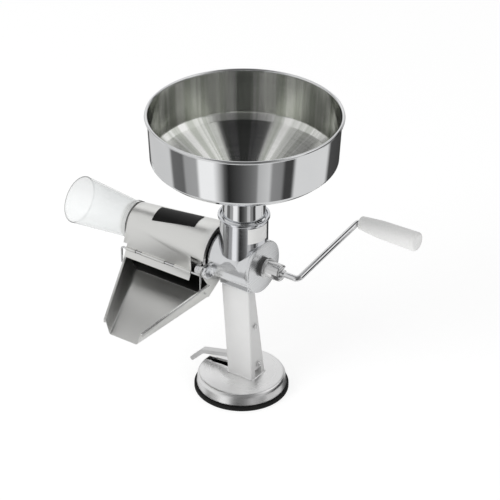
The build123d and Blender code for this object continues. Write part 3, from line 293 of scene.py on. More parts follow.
def draw(name: str, board: Board, line: Flat, close: bool = False, fill: bool = False) -> Piece:
    """Draw a flat line as a wire, vertex after vertex.

    Args:
        name: The new piece's name.
        board: The board it is drawn on.
        line: Its points in millimetres.
        close: Whether its ends are joined.
        fill: Whether a closed line is filled with a face.

    Returns:
        The piece, still open in edit mode with all of it selected.
    """
    places = [board.place(a, b) for a, b in line]
    piece = trace(name, places)
    if close:
        ends = (places[0], places[-1])
        select_where(piece, lambda p: min((p - e).length for e in ends) < mm(SAME_PLACE))
        bpy.ops.mesh.edge_face_add()
    bpy.ops.mesh.select_all(action="SELECT")
    if fill:
        bpy.ops.mesh.edge_face_add()
    return piece


def close_up(piece: Piece) -> Piece:
    """Merge doubles, turn the faces outwards and leave edit mode.

    Args:
        piece: The piece in edit mode.

    Returns:
        The piece.
    """
    bpy.ops.mesh.select_all(action="SELECT")
    bpy.ops.mesh.remove_doubles(threshold=mm(DOUBLES))
    bpy.ops.mesh.normals_make_consistent(inside=False)
    bpy.ops.object.mode_set(mode="OBJECT")
    return piece


def spin(centre: Vector, axis: Vector, angle: float, steps: int) -> None:
    """Spin what is selected about an axis by the right-hand rule."""
    bpy.ops.mesh.spin(steps=steps, angle=-angle, center=centre, axis=axis, use_auto_merge=True)


def turned(name: str, board: Board, line: Flat, steps: int = 72, close: bool = True) -> Piece:
    """Turn an outline of (radius, along) points about the board's v axis.

    Args:
        name: The new piece's name.
        board: The board whose origin and v are the axis.
        line: The outline in millimetres.
        steps: Flats round the axis.
        close: Whether the outline is closed.

    Returns:
        The turned piece.
    """
    piece = draw(name, board, line, close=close)
    spin(board.origin, board.v, math.tau, steps)
    return close_up(piece)


def plate(name: str, board: Board, line: Flat, depth: Vector) -> Piece:
    """Extrude a closed outline into a plate.

    Args:
        name: The new piece's name.
        board: The board it is drawn on.
        line: The outline in millimetres.
        depth: How far it is extruded, in metres.

    Returns:
        The plate.
    """
    piece = draw(name, board, line, close=True, fill=True)
    bpy.ops.mesh.extrude_region_move(TRANSFORM_OT_translate={"value": depth})
    return close_up(piece)


def block(name: str, low: tuple[float, float, float], high: tuple[float, float, float]) -> Piece:
    """Model a box.

    Args:
        name: The new piece's name.
        low: Its lowest corner in millimetres.
        high: Its highest corner in millimetres.

    Returns:
        The box.
    """
    a, b = at(*low), at(*high)
    deselect()
    bpy.ops.mesh.primitive_cube_add(size=1, location=(a + b) / 2, scale=b - a)
    return named(name)


def bar(name: str, radius: float, start: Vector, end: Vector, sides: int = 64) -> Piece:
    """Model a round bar.

    Args:
        name: The new piece's name.
        radius: Its radius in millimetres.
        start: The middle of its first end, in metres.
        end: The middle of its other end, in metres.
        sides: Flats round it.

    Returns:
        The bar.
    """
    run = end - start
    turn = run.to_track_quat("Z", "Y").to_euler()
    deselect()
    bpy.ops.mesh.primitive_cylinder_add(
        vertices=sides,
        radius=mm(radius),
        depth=run.length,
        location=(start + end) / 2,
        rotation=turn,
    )
    return named(name)


def bar_x(
    name: str,
    radius: float,
    x_from: float,
    x_to: float,
    y: float = 0.0,
    z: float = AXIS_Z,
    sides: int = 64,
) -> Piece:
    """Return a round bar along X."""
    return bar(name, radius, at(x_from, y, z), at(x_to, y, z), sides)


def taper(
    name: str, low: tuple[float, float, float, float], high: tuple[float, float, float, float]
) -> Piece:
    """Model an upright block whose two ends differ.

    Args:
        name: The new piece's name.
        low: Its low end as (x from, x to, half y, z), in millimetres.
        high: Its high end, likewise.

    Returns:
        The block.
    """
    x_from, x_to, half_y, z = low
    deselect()
    bpy.ops.mesh.primitive_plane_add(size=1, location=at((x_from + x_to) / 2, 0, z))
    piece = named(name)
    edit(piece)
    bpy.ops.transform.resize(value=(mm(x_to - x_from), mm(2 * half_y), 1))
    top_from, top_to, top_half, top_z = high
    shift = at((top_from + top_to - x_from - x_to) / 2, 0, top_z - z)
    bpy.ops.mesh.extrude_region_move(TRANSFORM_OT_translate={"value": shift})
    middle = at((top_from + top_to) / 2, 0, top_z)
    scale = ((top_to - top_from) / (x_to - x_from), top_half / half_y, 1)
    bpy.ops.transform.resize(value=scale, center_override=middle)
    return close_up(piece)


def rod(name: str, path: Sequence[Vector], radius: float, bend: float, sides: int = 28) -> Piece:
    """Make a round rod: a ring pushed along each run and spun round each bend.

    Args:
        name: The new piece's name.
        path: The corners of its centre line, in metres.
        radius: Its radius in millimetres.
        bend: The bends' radius in millimetres.
        sides: Flats round the rod.

    Returns:
        The rod with closed ends.
    """
    here = path[0]
    heading = (path[1] - here).normalized()
    deselect()
    bpy.ops.mesh.primitive_circle_add(
        vertices=sides,
        radius=mm(radius),
        location=here,
        rotation=heading.to_track_quat("Z", "Y").to_euler(),
    )
    piece = named(name)
    edit(piece)
    for corner, after in zip(path[1:], path[2:]):
        onward = (after - corner).normalized()
        angle = heading.angle(onward)
        reach = mm(bend) * math.tan(angle / 2)
        stop = corner - heading * reach
        bpy.ops.mesh.extrude_edges_move(TRANSFORM_OT_translate={"value": stop - here})
        axis = heading.cross(onward).normalized()
        spin(stop + axis.cross(heading) * mm(bend), axis, angle, 10)
        here, heading = corner + onward * reach, onward
    bpy.ops.mesh.extrude_edges_move(TRANSFORM_OT_translate={"value": path[-1] - here})
    bpy.ops.mesh.select_all(action="SELECT")
    bpy.ops.mesh.fill_holes(sides=0)
    return close_up(piece)


def join(name: str, *parts: Piece) -> Piece:
    """Join parts into one piece.

    Args:
        name: The new piece's name.
        parts: The parts, of which the first is kept.

    Returns:
        The piece.
    """
    pick(*parts)
    bpy.ops.object.join()
    return named(name)


def combine(piece: Piece, tool: Piece, operation: str = "DIFFERENCE") -> Piece:
    """Cut, unite or intersect a piece with a tool, and remove the tool.

    Args:
        piece: The piece.
        tool: The tool.
        operation: DIFFERENCE, UNION or INTERSECT.

    Returns:
        The piece.
    """
    modify(piece, "BOOLEAN", object=tool, operation=operation, solver="EXACT")
    bpy.data.objects.remove(tool)
    return piece


def weld(name: str, grain: float, passes: int, *parts: Piece) -> Piece:
    """Cast overlapping parts into one skin with soft fillets.

    Args:
        name: The casting's name.
        grain: Voxel size in millimetres.
        passes: Smoothing passes, which set how wide the fillets are.
        parts: The overlapping closed parts.

    Returns:
        The casting.
    """
    piece = join(name, *parts)
    modify(piece, "REMESH", mode="VOXEL", voxel_size=mm(grain))
    return modify(piece, "SMOOTH", factor=0.5, iterations=passes)


def soften(piece: Piece, width: float, segments: int = 2, angle: float = 35.0) -> Piece:
    """Break a piece's sharp edges with a small bevel.

    Args:
        piece: The piece.
        width: The bevel's width in millimetres.
        segments: Steps across it.
        angle: The least angle, in degrees, of an edge that is bevelled.

    Returns:
        The piece.
    """
    return modify(
        piece,
        "BEVEL",
        width=mm(width),
        segments=segments,
        limit_method="ANGLE",
        angle_limit=math.radians(angle),
        use_clamp_overlap=True,
    )


def smooth(piece: Piece, angle: float = 40.0) -> Piece:
    """Shade a piece smooth and put its place into its mesh.

    Args:
        piece: The piece.
        angle: The greatest angle, in degrees, that is shaded smooth.

    Returns:
        The piece.
    """
    pick(piece)
    bpy.ops.object.shade_smooth_by_angle(angle=math.radians(angle))
    bpy.ops.object.transform_apply(location=True, rotation=True, scale=True)
    return piece


def seat(piece: Piece, body: str, slot: str, dress: "Finish", *nodes: str) -> Piece:
    """Finish a new piece: shade and dress it, let it ride, and let it stand for its CAD nodes.

    Args:
        piece: The piece.
        body: The CAD body it moves with.
        slot: Not used.
        dress: The finish it gets.
        nodes: The CAD nodes that it replaces.

    Returns:
        The piece.
    """
    smooth(piece)
    piece.data.materials.clear()
    piece.data.materials.append(dress.material())
    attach(piece, body)
    if nodes:
        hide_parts(*nodes)
    LOG.info("%s rides on %s: %d faces", piece.name, body, len(piece.data.polygons))
    return piece


def redress(piece: Piece, choose: Callable[[Face], int], *further: "Finish") -> None:
    """Give some faces of a seated piece a further finish.

    Args:
        piece: The piece, whose first finish has index 0.
        choose: Takes a face and returns the index of its finish.
        further: The further finishes, from index 1.
    """
    for dress in further:
        piece.data.materials.append(dress.material())
    for face in piece.data.polygons:
        face.material_index = int(choose(face))


# ---------------------------------------------------------------- finishes
class Grain(Enum):
    """The kinds of surface mark that a finish can have."""

    SPUN = "spun_rings"
    # Painted reflection streaks: dark and light rays from the axis in the base colour.
    STREAKED = "polished_streaks"
    BRUSHED = "brushed_lines"
    CAST = "cast_skin"
    MOULDED = "moulded_skin"


def grey(value: float) -> tuple[float, float, float, float]:
    """Return an opaque grey."""
    return (value, value, value, 1.0)


def feed(tree: Tree, node: bpy.types.Node, inputs: dict[Union[int, str], object]) -> None:
    """Link or set the inputs of a node.

    Args:
        tree: The tree of the node.
        node: The node.
        inputs: The socket to link or the value to set for each input, by name or place.
    """
    for key, value in inputs.items():
        if isinstance(value, Socket):
            tree.links.new(value, node.inputs[key])
        else:
            node.inputs[key].default_value = value


def add_node(
    tree: Tree, kind: str, inputs: Optional[dict[Union[int, str], object]] = None, **settings
) -> bpy.types.Node:
    """Add a shader node.

    Args:
        tree: The tree it goes in.
        kind: Its type, without the leading "ShaderNode".
        inputs: What its inputs are fed with, by name or place.
        settings: Its own settings, which are set before the inputs.

    Returns:
        The node.
    """
    made = tree.nodes.new(f"ShaderNode{kind}")
    for key, value in settings.items():
        setattr(made, key, value)
    feed(tree, made, inputs or {})
    return made


def math_node(tree: Tree, operation: str, *values: Union[Socket, float]) -> Socket:
    """Add a Math node fed by sockets or numbers and return its output."""
    return add_node(tree, "Math", dict(enumerate(values)), operation=operation).outputs[0]


def noise_node(tree: Tree, place: Socket, scale: float, detail: float) -> Socket:
    """Add a Noise Texture at a place and return its factor."""
    return add_node(tree, "TexNoise", {"Vector": place, "Scale": scale, "Detail": detail}).outputs[0]


def mix_node(tree: Tree, share: Socket, first: object, second: object) -> Socket:
    """Mix two colours, each a socket or a value, by a share and return the result."""
    return add_node(tree, "Mix", {0: share, 6: first, 7: second}, data_type="RGBA").outputs[2]


class GrainGroups:
    """The node groups that hold each kind of surface mark, built once each."""

    def __init__(self) -> None:
        """Start with no groups."""
        self.made: dict[Grain, Tree] = {}

    def get(self, grain: Grain) -> Tree:
        """Return the group of a kind of mark, and build it on first use.

        Args:
            grain: The kind of mark.

        Returns:
            A group with input Place and outputs Fine and Broad, both about 0 to 1.
        """
        if grain not in self.made:
            tree = bpy.data.node_groups.new(grain.value, "ShaderNodeTree")
            tree.interface.new_socket(name="Place", in_out="INPUT", socket_type="NodeSocketVector")
            for name in ("Fine", "Broad"):
                tree.interface.new_socket(name=name, in_out="OUTPUT", socket_type="NodeSocketFloat")
            place = tree.nodes.new("NodeGroupInput").outputs["Place"]
            result = tree.nodes.new("NodeGroupOutput")
            fine, broad = getattr(self, grain.value)(tree, place)
            tree.links.new(fine, result.inputs["Fine"])
            tree.links.new(broad, result.inputs["Broad"])
            self.made[grain] = tree
        return self.made[grain]

    def spun_rings(self, tree: Tree, place: Socket) -> Marks:
        """Return fine rings about Z and broad clouds.

        Args:
            tree: The group's node tree.
            place: The place on the surface.

        Returns:
            The fine and the broad marks.
        """
        x, y, z = add_node(tree, "SeparateXYZ", {0: place}).outputs
        squares = [math_node(tree, "MULTIPLY", side, side) for side in (x, y)]
        radius = math_node(tree, "SQRT", math_node(tree, "ADD", *squares))
        turn = math_node(tree, "MULTIPLY", math_node(tree, "ARCTAN2", y, x), 0.0015)
        ring = add_node(tree, "CombineXYZ", {0: radius, 1: z, 2: turn}).outputs[0]
        return noise_node(tree, ring, 700.0, 5.0), noise_node(tree, place, 22.0, 3.0)

    def polished_streaks(self, tree: Tree, place: Socket) -> Marks:
        """Return fine rings about Z and the painted reflection streaks that run across them from the
        axis.

        Args:
            tree: The group's node tree.
            place: The place on the surface.

        Returns:
            The fine and the broad marks.
        """
        fine, _ = self.spun_rings(tree, place)
        flat = add_node(tree, "VectorMath", {0: place, 1: (1.0, 1.0, 0.0)}, operation="MULTIPLY")
        ray = add_node(tree, "VectorMath", {0: flat.outputs[0]}, operation="NORMALIZE")
        # Painted reflection streaks: noise by direction from the axis, sharpened, sets light and dark
        # in the colour.
        streaks = noise_node(tree, ray.outputs[0], 7.0, 3.0)
        sharp = math_node(tree, "MULTIPLY_ADD", streaks, 5.0, -2.0)
        return fine, math_node(tree, "MINIMUM", math_node(tree, "MAXIMUM", sharp, 0.0), 1.0)

    def brushed_lines(self, tree: Tree, place: Socket) -> Marks:
        """Return lines that the finish's own stretch draws out, and broad clouds."""
        return noise_node(tree, place, 500.0, 5.0), noise_node(tree, place, 24.0, 3.0)

    def cast_skin(self, tree: Tree, place: Socket) -> Marks:
        """Return the pits of a cast skin and broad clouds.

        Args:
            tree: The group's node tree.
            place: The place on the surface.

        Returns:
            The fine and the broad marks.
        """
        grit = math_node(tree, "MULTIPLY", noise_node(tree, place, 420.0, 4.0), 0.65)
        lumps = math_node(tree, "MULTIPLY", noise_node(tree, place, 110.0, 2.0), 0.35)
        return math_node(tree, "ADD", grit, lumps), noise_node(tree, place, 26.0, 3.0)

    def moulded_skin(self, tree: Tree, place: Socket) -> Marks:
        """Return the faint texture of moulded plastic or rubber and broad clouds."""
        return noise_node(tree, place, 900.0, 2.0), noise_node(tree, place, 35.0, 2.0)


GRAINS = GrainGroups()


@dataclass(frozen=True)
class Finish:
    """A material: its colours, its gloss and the marks on its surface."""

    name: str
    light: tuple[float, float, float]
    dark: tuple[float, float, float]
    rough: tuple[float, float]
    metallic: float = 1.0
    grain: Grain = Grain.MOULDED
    stretch: tuple[float, float, float] = (1.0, 1.0, 1.0)
    centre: tuple[float, float, float] = (0.0, 0.0, 0.0)
    turn: tuple[float, float, float] = (0.0, 0.0, 0.0)
    relief: float = 0.02
    coat: float = 0.0
    turned_gloss: float = 0.0
    specular: float = 0.5
    transmission: float = 0.0
    ior: float = 1.5

    def material(self) -> bpy.types.Material:
        """Return the finish as a material, made on first use."""
        made = bpy.data.materials.get(self.name)
        return made if made else self.make()

    def make(self) -> bpy.types.Material:
        """Build the node tree of the finish.

        Returns:
            The new material.
        """
        material = bpy.data.materials.new(self.name)
        material.use_nodes = True
        tree = material.node_tree
        place = {
            "Vector": add_node(tree, "TexCoord").outputs["Object"],
            "Location": at(*self.centre),
            "Rotation": [math.radians(a) for a in self.turn],
            "Scale": self.stretch,
        }
        mapped = add_node(tree, "Mapping", place, vector_type="POINT").outputs["Vector"]
        marks = add_node(tree, "Group", {"Place": mapped}, node_tree=GRAINS.get(self.grain))
        fine, broad = marks.outputs["Fine"], marks.outputs["Broad"]
        spread = dict(zip(("From Min", "From Max", "To Min", "To Max"), MARK_RANGE + self.rough))
        gloss = add_node(tree, "MapRange", {"Value": fine, **spread})
        relief = {"Height": fine, "Strength": BUMP_STRENGTH, "Distance": mm(self.relief)}
        surface = {
            "Base Color": mix_node(tree, broad, (*self.dark, 1), (*self.light, 1)),
            "Roughness": gloss.outputs["Result"],
            "Normal": add_node(tree, "Bump", relief).outputs["Normal"],
            "Metallic": self.metallic,
            "Coat Weight": self.coat,
            "Specular IOR Level": self.specular,
            "Anisotropic": self.turned_gloss,
            "Anisotropic Rotation": QUARTER_TURN if self.turned_gloss else 0.0,
            "Transmission Weight": self.transmission,
            "IOR": self.ior,
        }
        feed(tree, tree.nodes["Principled BSDF"], surface)
        return material


@dataclass(frozen=True)
class ClearFinish(Finish):
    """A clear plastic with painted shade: its colour greys where it is seen along its skin."""

    # The grey that is painted in as shade where the plastic is seen along its skin.
    edge: tuple[float, float, float] = (0.5, 0.5, 0.5)

    def make(self) -> bpy.types.Material:
        """Build the finish and paint shade into its colour towards grazing sight.

        Returns:
            The new material.
        """
        material = super().make()
        tree = material.node_tree
        colour = tree.nodes["Principled BSDF"].inputs["Base Color"]
        facing = add_node(tree, "LayerWeight", {"Blend": 0.5}).outputs["Facing"]
        share = math_node(tree, "POWER", facing, GRAZING_SHADE_POWER)
        tint = colour.links[0].from_socket
        # Painted shade: the colour turns to the edge grey towards grazing sight.
        tree.links.new(mix_node(tree, share, tint, (*self.edge, 1)), colour)
        return material


SPUN_UP = {"grain": Grain.SPUN, "centre": (-NECK_X, 0.0, 0.0)}
SPUN_ALONG = {"grain": Grain.SPUN, "centre": (AXIS_Z, 0.0, 0.0), "turn": (0.0, 90.0, 0.0)}
LINES_ALONG = {"grain": Grain.BRUSHED, "stretch": (0.04, 1.0, 1.0)}
MIRROR_STEEL = Finish(
    "mirror_steel", (0.88, 0.885, 0.89), (0.82, 0.83, 0.84), (0.03, 0.07), relief=0.003, **SPUN_UP
)
# The bowl's inside: spun steel whose colour carries painted reflection streaks.
SPUN_INSIDE_PAINTED_REFLECTIONS = Finish(
    "spun_inside", (0.97, 0.97, 0.95), (0.60, 0.62, 0.57), (0.13, 0.18),
    grain=Grain.STREAKED, centre=(-NECK_X, 0.0, 0.0), relief=0.0015, turned_gloss=1.0,
)
POLISHED_NECK = Finish(
    "polished_neck", (0.82, 0.83, 0.85), (0.72, 0.73, 0.76), (0.08, 0.14), relief=0.006, **SPUN_UP
)
FACED_ALUMINIUM = Finish(
    "faced_aluminium", (0.90, 0.91, 0.92), (0.80, 0.81, 0.82), (0.22, 0.30), relief=0.005, **SPUN_ALONG
)
CAST_ALUMINIUM = Finish(
    "cast_aluminium", (0.92, 0.93, 0.94), (0.80, 0.81, 0.83), (0.14, 0.22), relief=0.008, **LINES_ALONG
)
LEG_ALUMINIUM = Finish(
    "leg_aluminium", (0.84, 0.84, 0.835), (0.74, 0.74, 0.735), (0.38, 0.52),
    metallic=0.2, grain=Grain.CAST, relief=0.08,
)
CAP_ALUMINIUM = Finish(
    "cap_aluminium", (0.97, 0.97, 0.97), (0.90, 0.90, 0.90), (0.26, 0.34),
    relief=0.006, grain=Grain.SPUN,
)
SHEET_STEEL = Finish(
    "sheet_steel", (0.92, 0.92, 0.90), (0.86, 0.86, 0.84), (0.30, 0.36), relief=0.002, **LINES_ALONG
)
TRAY_STEEL = Finish(
    "tray_steel", (0.93, 0.93, 0.91), (0.84, 0.84, 0.82), (0.36, 0.40),
    grain=Grain.BRUSHED, stretch=(1.0, 0.04, 0.08), relief=0.001,
)
# Painted shade: a darker copy of the tray's steel for the inner face of the left wall.
TRAY_WALL_PAINTED_SHADE = Finish(
    "tray_side_steel", (0.84, 0.84, 0.82), (0.70, 0.70, 0.68), (0.34, 0.40),
    grain=Grain.BRUSHED, stretch=(1.0, 0.04, 0.08), relief=0.001,
)
# Painted shade: the trough under the guard is made near-black, on its outside too.
TROUGH_PAINTED_SHADE = Finish(
    "trough_steel", (0.045, 0.045, 0.043), (0.02, 0.02, 0.02), (0.35, 0.5), relief=0.01, **LINES_ALONG
)
# The right hem: glossier steel, and painted lighter than the tray as a highlight along its top.
HEM_PAINTED_HIGHLIGHT = Finish(
    "hem_steel", (0.97, 0.97, 0.96), (0.90, 0.90, 0.89), (0.10, 0.16), relief=0.001, **LINES_ALONG
)
BRIGHT_STEEL = Finish(
    "bright_steel", (0.82, 0.82, 0.82), (0.70, 0.70, 0.70), (0.12, 0.24), grain=Grain.CAST
)
LEVER_METAL = Finish(
    "lever_metal", (0.93, 0.93, 0.93), (0.88, 0.88, 0.88), (0.30, 0.42),
    metallic=0.0, grain=Grain.CAST, relief=0.04,
)
CHROME = Finish("chrome", (0.86, 0.86, 0.87), (0.80, 0.80, 0.81), (0.03, 0.06), relief=0.002)
HUB_STEEL = Finish(
    "hub_steel", (0.84, 0.84, 0.84), (0.74, 0.74, 0.74), (0.16, 0.26), relief=0.01, **SPUN_ALONG
)
SIEVE_STEEL = Finish(
    "sieve_steel", (0.72, 0.72, 0.71), (0.56, 0.56, 0.55), (0.25, 0.4), **SPUN_ALONG
)
BLACK_RUBBER = Finish(
    "black_rubber", (0.012, 0.012, 0.012), (0.005, 0.005, 0.005), (0.5, 0.7),
    metallic=0.0, relief=0.05, specular=0.2,
)
# Dark grey for the bush: partly its own dark plastic, partly painted shade in the gap between the end
# disc and the coupling.
DARK_BUSH_AND_PAINTED_SHADE = Finish(
    "dark_bush", (0.11, 0.105, 0.10), (0.06, 0.06, 0.06), (0.35, 0.5), metallic=0.0, relief=0.03
)
BLACK_ENAMEL = Finish(
    "black_enamel", (0.008, 0.008, 0.008), (0.004, 0.004, 0.004), (0.35, 0.45),
    metallic=0.0, relief=0.01, specular=0.15,
)
WHITE_GRIP = Finish(
    "white_grip", (0.94, 0.94, 0.93), (0.90, 0.90, 0.89), (0.24, 0.34),
    metallic=0.0, relief=0.02, coat=0.3,
)
WHITE_PLASTIC = Finish(
    "white_plastic", (0.80, 0.79, 0.76), (0.72, 0.71, 0.68), (0.4, 0.55), metallic=0.0
)
PAPER = Finish(
    "label_paper", (0.88, 0.88, 0.87), (0.82, 0.82, 0.81), (0.4, 0.55), metallic=0.0, relief=0.01
)
# Clear plastic whose colour is painted nearly black towards grazing sight as shade.
CLEAR = ClearFinish(
    "clear_plastic", (0.96, 0.96, 0.96), (0.84, 0.845, 0.845), (0.0, 0.01),
    metallic=0.0, relief=0.0003, transmission=1.0, ior=1.08, edge=(0.01, 0.01, 0.01), **LINES_ALONG,
)
# Painted shade: the funnel's end faces are clear plastic painted dark grey.
CLEAR_RIM_PAINTED_SHADE = ClearFinish(
    "clear_plastic_rim", (0.12, 0.12, 0.12), (0.08, 0.08, 0.08), (0.0, 0.02),
    metallic=0.0, relief=0.0003, transmission=1.0, ior=1.08, edge=(0.01, 0.01, 0.01), **LINES_ALONG,
)


# ---------------------------------------------------------------- hopper
@dataclass
class Hopper:
    """The spun bowl with its curled rim and the spout below it."""

    spout_r: float = 28.1
    cone_low: tuple[float, float] = (28.65, 302.5)
    cone_high: tuple[float, float] = (112.75, 347.3)
    wall_low: tuple[float, float] = (120.6, 354.5)
    wall_top: tuple[float, float] = (123.5, 413.6)
    rim_z: float = 414.8
    curl: float = 1.7
    sheet: float = 1.0
    curl_steps: int = 12
    spout_z: tuple[float, float] = (238.0, 303.0)
    bead_r: float = 30.9

    def build(self) -> None:
        """Spin the bowl and the spout and seat them."""
        line = [(self.cone_low[0], 294.0), self.cone_low, self.cone_high, self.wall_low, self.wall_top]
        profile = rounded(line, {1: 7.0, 2: 6.0, 3: 4.5})
        centre_r = self.wall_top[0] + self.curl
        for step in range(self.curl_steps):
            angle = math.pi - math.tau * step / self.curl_steps
            across, up = self.curl * math.cos(angle), self.curl * math.sin(angle)
            profile.append((centre_r + across, self.rim_z + up))
        bowl = turned("hopper_bowl_spun", UPRIGHT, profile, steps=144, close=False)
        modify(bowl, "SOLIDIFY", thickness=mm(self.sheet), offset=0.0, use_even_offset=True)
        seat(bowl, "hopper", "hopper_steel", MIRROR_STEEL, "hopper_bowl")
        # The faces inside the bowl get the finish with painted reflection streaks.
        redress(bowl, self.is_inside, SPUN_INSIDE_PAINTED_REFLECTIONS)
        inner, outer = self.spout_r - self.sheet, self.spout_r
        low, high = self.spout_z
        line = [
            (inner, low), (outer, low), (outer, 266.0), (self.bead_r, 266.0), (self.bead_r, 268.6),
            (outer, 270.4), (outer, high), (inner, high),
        ]
        outline = rounded(line, {3: 0.8, 4: 0.8, 5: 0.6}, 4, True)
        spout = turned("hopper_spout_tube", UPRIGHT, outline, steps=96)
        seat(spout, "hopper", "spout_steel", MIRROR_STEEL, "hopper_spout")

    def is_inside(self, face: Face) -> bool:
        """Tell whether a face of the bowl looks towards its axis below the rim.

        Args:
            face: The face.

        Returns:
            Whether it belongs to the inside.
        """
        outward = Vector((face.center.x - mm(NECK_X), face.center.y, 0))
        return face.normal.dot(outward) < 0 and face.center.z < mm(self.wall_top[1] - 1.0)


# ---------------------------------------------------------------- body
@dataclass
class Body:
    """The casting with its neck, end disc, stud lugs and web, and the hole for the bush."""

    tube_r: float = 33.0
    bore_r: float = 29.0
    tube_x: tuple[float, float] = (-33.0, 28.0)
    disc_r: float = 36.0
    disc_x: tuple[float, float] = (28.0, 34.2)
    neck_r: float = 32.0
    neck_bore_r: float = 28.4
    neck_low_z: float = 210.0
    neck_top_z: float = 271.0
    mouth_r: float = 31.2
    mouth_depth: float = 5.0
    lip_r: float = 34.2
    lip_h: float = 4.0
    lug_r: float = 9.0
    lug_t: float = 6.0
    bush_hole_r: float = 12.2
    shaft_hole_r: float = 12.05
    grain: float = 1.0

    def build(self) -> None:
        """Cast the body, turn its neck and disc and seat them."""
        seat(self.cast(), "base", "cast_body", CAST_ALUMINIUM, "body_casting")
        seat(self.neck(), "base", "cast_body", POLISHED_NECK, "body_casting")
        seat(self.disc(), "base", "cast_body", FACED_ALUMINIUM, "body_casting")

    def cast(self) -> Piece:
        """Cast tube, neck core, flare, web and lugs in one skin and bore it.

        Returns:
            The casting.
        """
        x_low, x_high = self.tube_x
        lug_end = x_low + self.lug_t
        lug_low, lug_high = STUD_Z - self.lug_r, STUD_Z + self.lug_r
        flare = turned("flare", UPRIGHT, [(0, 200), (37, 200), (self.neck_r - 0.3, 217), (0, 217)])
        combine(flare, block("trim", (x_low, -33, 190), (x_high, 33, 240)), "INTERSECT")
        parts = [
            bar_x("tube", self.tube_r, x_low, x_high + 3, 0, AXIS_Z),
            bar_x("disc_core", self.disc_r - 1.0, self.disc_x[0] + 0.6, self.disc_x[1] - 1.0),
            bar("neck_core", self.neck_r - 0.5, at(NECK_X, 0, AXIS_Z), at(NECK_X, 0, 266)),
            flare,
            taper("web_flare", (-30.2, 16.9, 8.6, 166), (x_low, x_high, 27, 183)),
            block("web", (-30.2, -8.6, 157), (16.9, 8.6, 168)),
            block("lug_bar", (x_low, -STUD_Y, lug_low), (lug_end, STUD_Y, lug_high)),
        ]
        for side in (-1, 1):
            parts.append(bar_x("lug", self.lug_r, x_low, lug_end, side * STUD_Y, STUD_Z))
        skin = weld("body_skin", self.grain, 5, *parts)
        combine(skin, bar_x("bore", self.bore_r, x_low - 5, 22))
        combine(skin, bar_x("bush_hole", self.bush_hole_r, 18, 40))
        low, high = at(NECK_X, 0, AXIS_Z), at(NECK_X, 0, 280)
        return combine(skin, bar("neck_bore", self.neck_bore_r, low, high))

    def neck(self) -> Piece:
        """Turn the neck with its lip and mouth.

        Returns:
            The neck.
        """
        low, top = self.neck_low_z, self.neck_top_z
        seat_z, lip_z = top - self.mouth_depth, top - self.lip_h
        line = [
            (self.neck_bore_r, low), (self.neck_bore_r, seat_z), (self.mouth_r, seat_z),
            (self.mouth_r, top), (self.lip_r, top), (self.lip_r, lip_z), (self.neck_r, lip_z),
            (self.neck_r, low),
        ]
        radii = {1: 0.5, 3: 0.6, 4: 0.9, 5: 0.9, 6: 0.8}
        return turned("body_neck", UPRIGHT, rounded(line, radii, 4, True), steps=96)

    def disc(self) -> Piece:
        """Turn the faced end disc.

        Returns:
            The disc.
        """
        x_low, x_high = self.disc_x
        hole_r, back_x = self.shaft_hole_r, x_low + 0.8
        line = [(hole_r, back_x), (self.disc_r, back_x), (self.disc_r, x_high), (hole_r, x_high)]
        return turned("body_end_disc", ALONG, rounded(line, {1: 1.0, 2: 0.9}, 4, True), steps=120)


# ---------------------------------------------------------------- pedestal and lever
@dataclass
class Pedestal:
    """The cast leg and suction cap, with the pocket, the lever's cavity and its slot."""

    foot: tuple[float, float, float, float] = (-11.5, 28.1, 16.1, 20.5)
    top: tuple[float, float, float, float] = (-28.9, 15.6, 7.3, 157.0)
    cap: tuple[tuple[float, float], ...] = (
        (61.0, 6.0), (59.6, 19.0), (57.3, 22.6), (30.0, 25.5), (0.0, 25.5),
        (0.0, 22.0), (30.0, 22.0), (53.8, 19.1), (57.5, 6.0),
    )
    grain: float = 1.0
    cap_top_z: float = 26.5

    def build(self) -> None:
        """Cast the pedestal, cut its openings and seat it."""
        leg = soften(taper("leg", self.foot, self.top), 2.2, 3)
        combine(leg, block("leg_trim", (-60, -30, 0), (60, 30, 23.0)))
        cap = turned("cap", FOOT, rounded(self.cap, {1: 1.2, 2: 3.0}, 4, True), steps=120)
        skin = weld("pedestal_skin", self.grain, 3, leg, cap)
        combine(skin, block("leg_top", (-60, -30, 156.9), (60, 30, 175)))
        combine(skin, block("cavity", (-45, -6, 20), (10.2, 6, 76)))
        combine(skin, block("slot", (-56, -4.5, 14), (5, 4.5, 30)))
        combine(skin, block("pocket", (14.5, -7, 26.5), (40, 7, 37)))
        seat(skin, "base", "cast_pedestal", LEG_ALUMINIUM, "pedestal")
        redress(skin, lambda face: face.center.z < mm(self.cap_top_z), CAP_ALUMINIUM)


@dataclass
class SuctionLever:
    """The bent lever with its boss and forked nose, whose line starts at the pivot."""

    line: Line = ((-8.0, 46.0), (-62.0, 32.5), (-81.0, 13.0))
    thickness: float = 6.0
    width: float = 9.0
    boss_r: float = 6.0
    pivot_r: float = 3.05
    nose: tuple[float, float] = (0.6, 47.0)
    nose_r: float = 8.4
    fork_half: float = 2.3

    def build(self) -> None:
        """Model the lever and seat it."""
        half = self.width / 2
        side = Board(at(0, -half, 0), RIGHT, UP)
        radii = {1: 9.0, 2: 2.0, 3: 2.0, 4: 4.0}
        outline = rounded(ribbon(self.line, self.thickness), radii, 5, True)
        lever = plate("suction_lever_bar", side, outline, at(0, self.width, 0))
        pivot = self.line[0]
        combine(lever, self.across("boss", self.boss_r, pivot, half), "UNION")
        combine(lever, self.across("nose", self.nose_r, self.nose, half), "UNION")
        combine(lever, block("fork", (-5, -self.fork_half, 30), (18, self.fork_half, 64)))
        combine(lever, block("slot", (-2.3, -8, 42), (3.5, 8, 52)))
        combine(lever, self.across("pivot", self.pivot_r, pivot, self.width, 32))
        soften(lever, 0.9, 3)
        seat(lever, "lever", "lever_metal", LEVER_METAL, "suction_lever")

    def across(
        self, name: str, radius: float, place: tuple[float, float], half: float, sides: int = 64
    ) -> Piece:
        """Return a bar across the lever at (x, z), as long as twice the half length."""
        x, z = place
        return bar(name, radius, at(x, -half, z), at(x, half, z), sides)


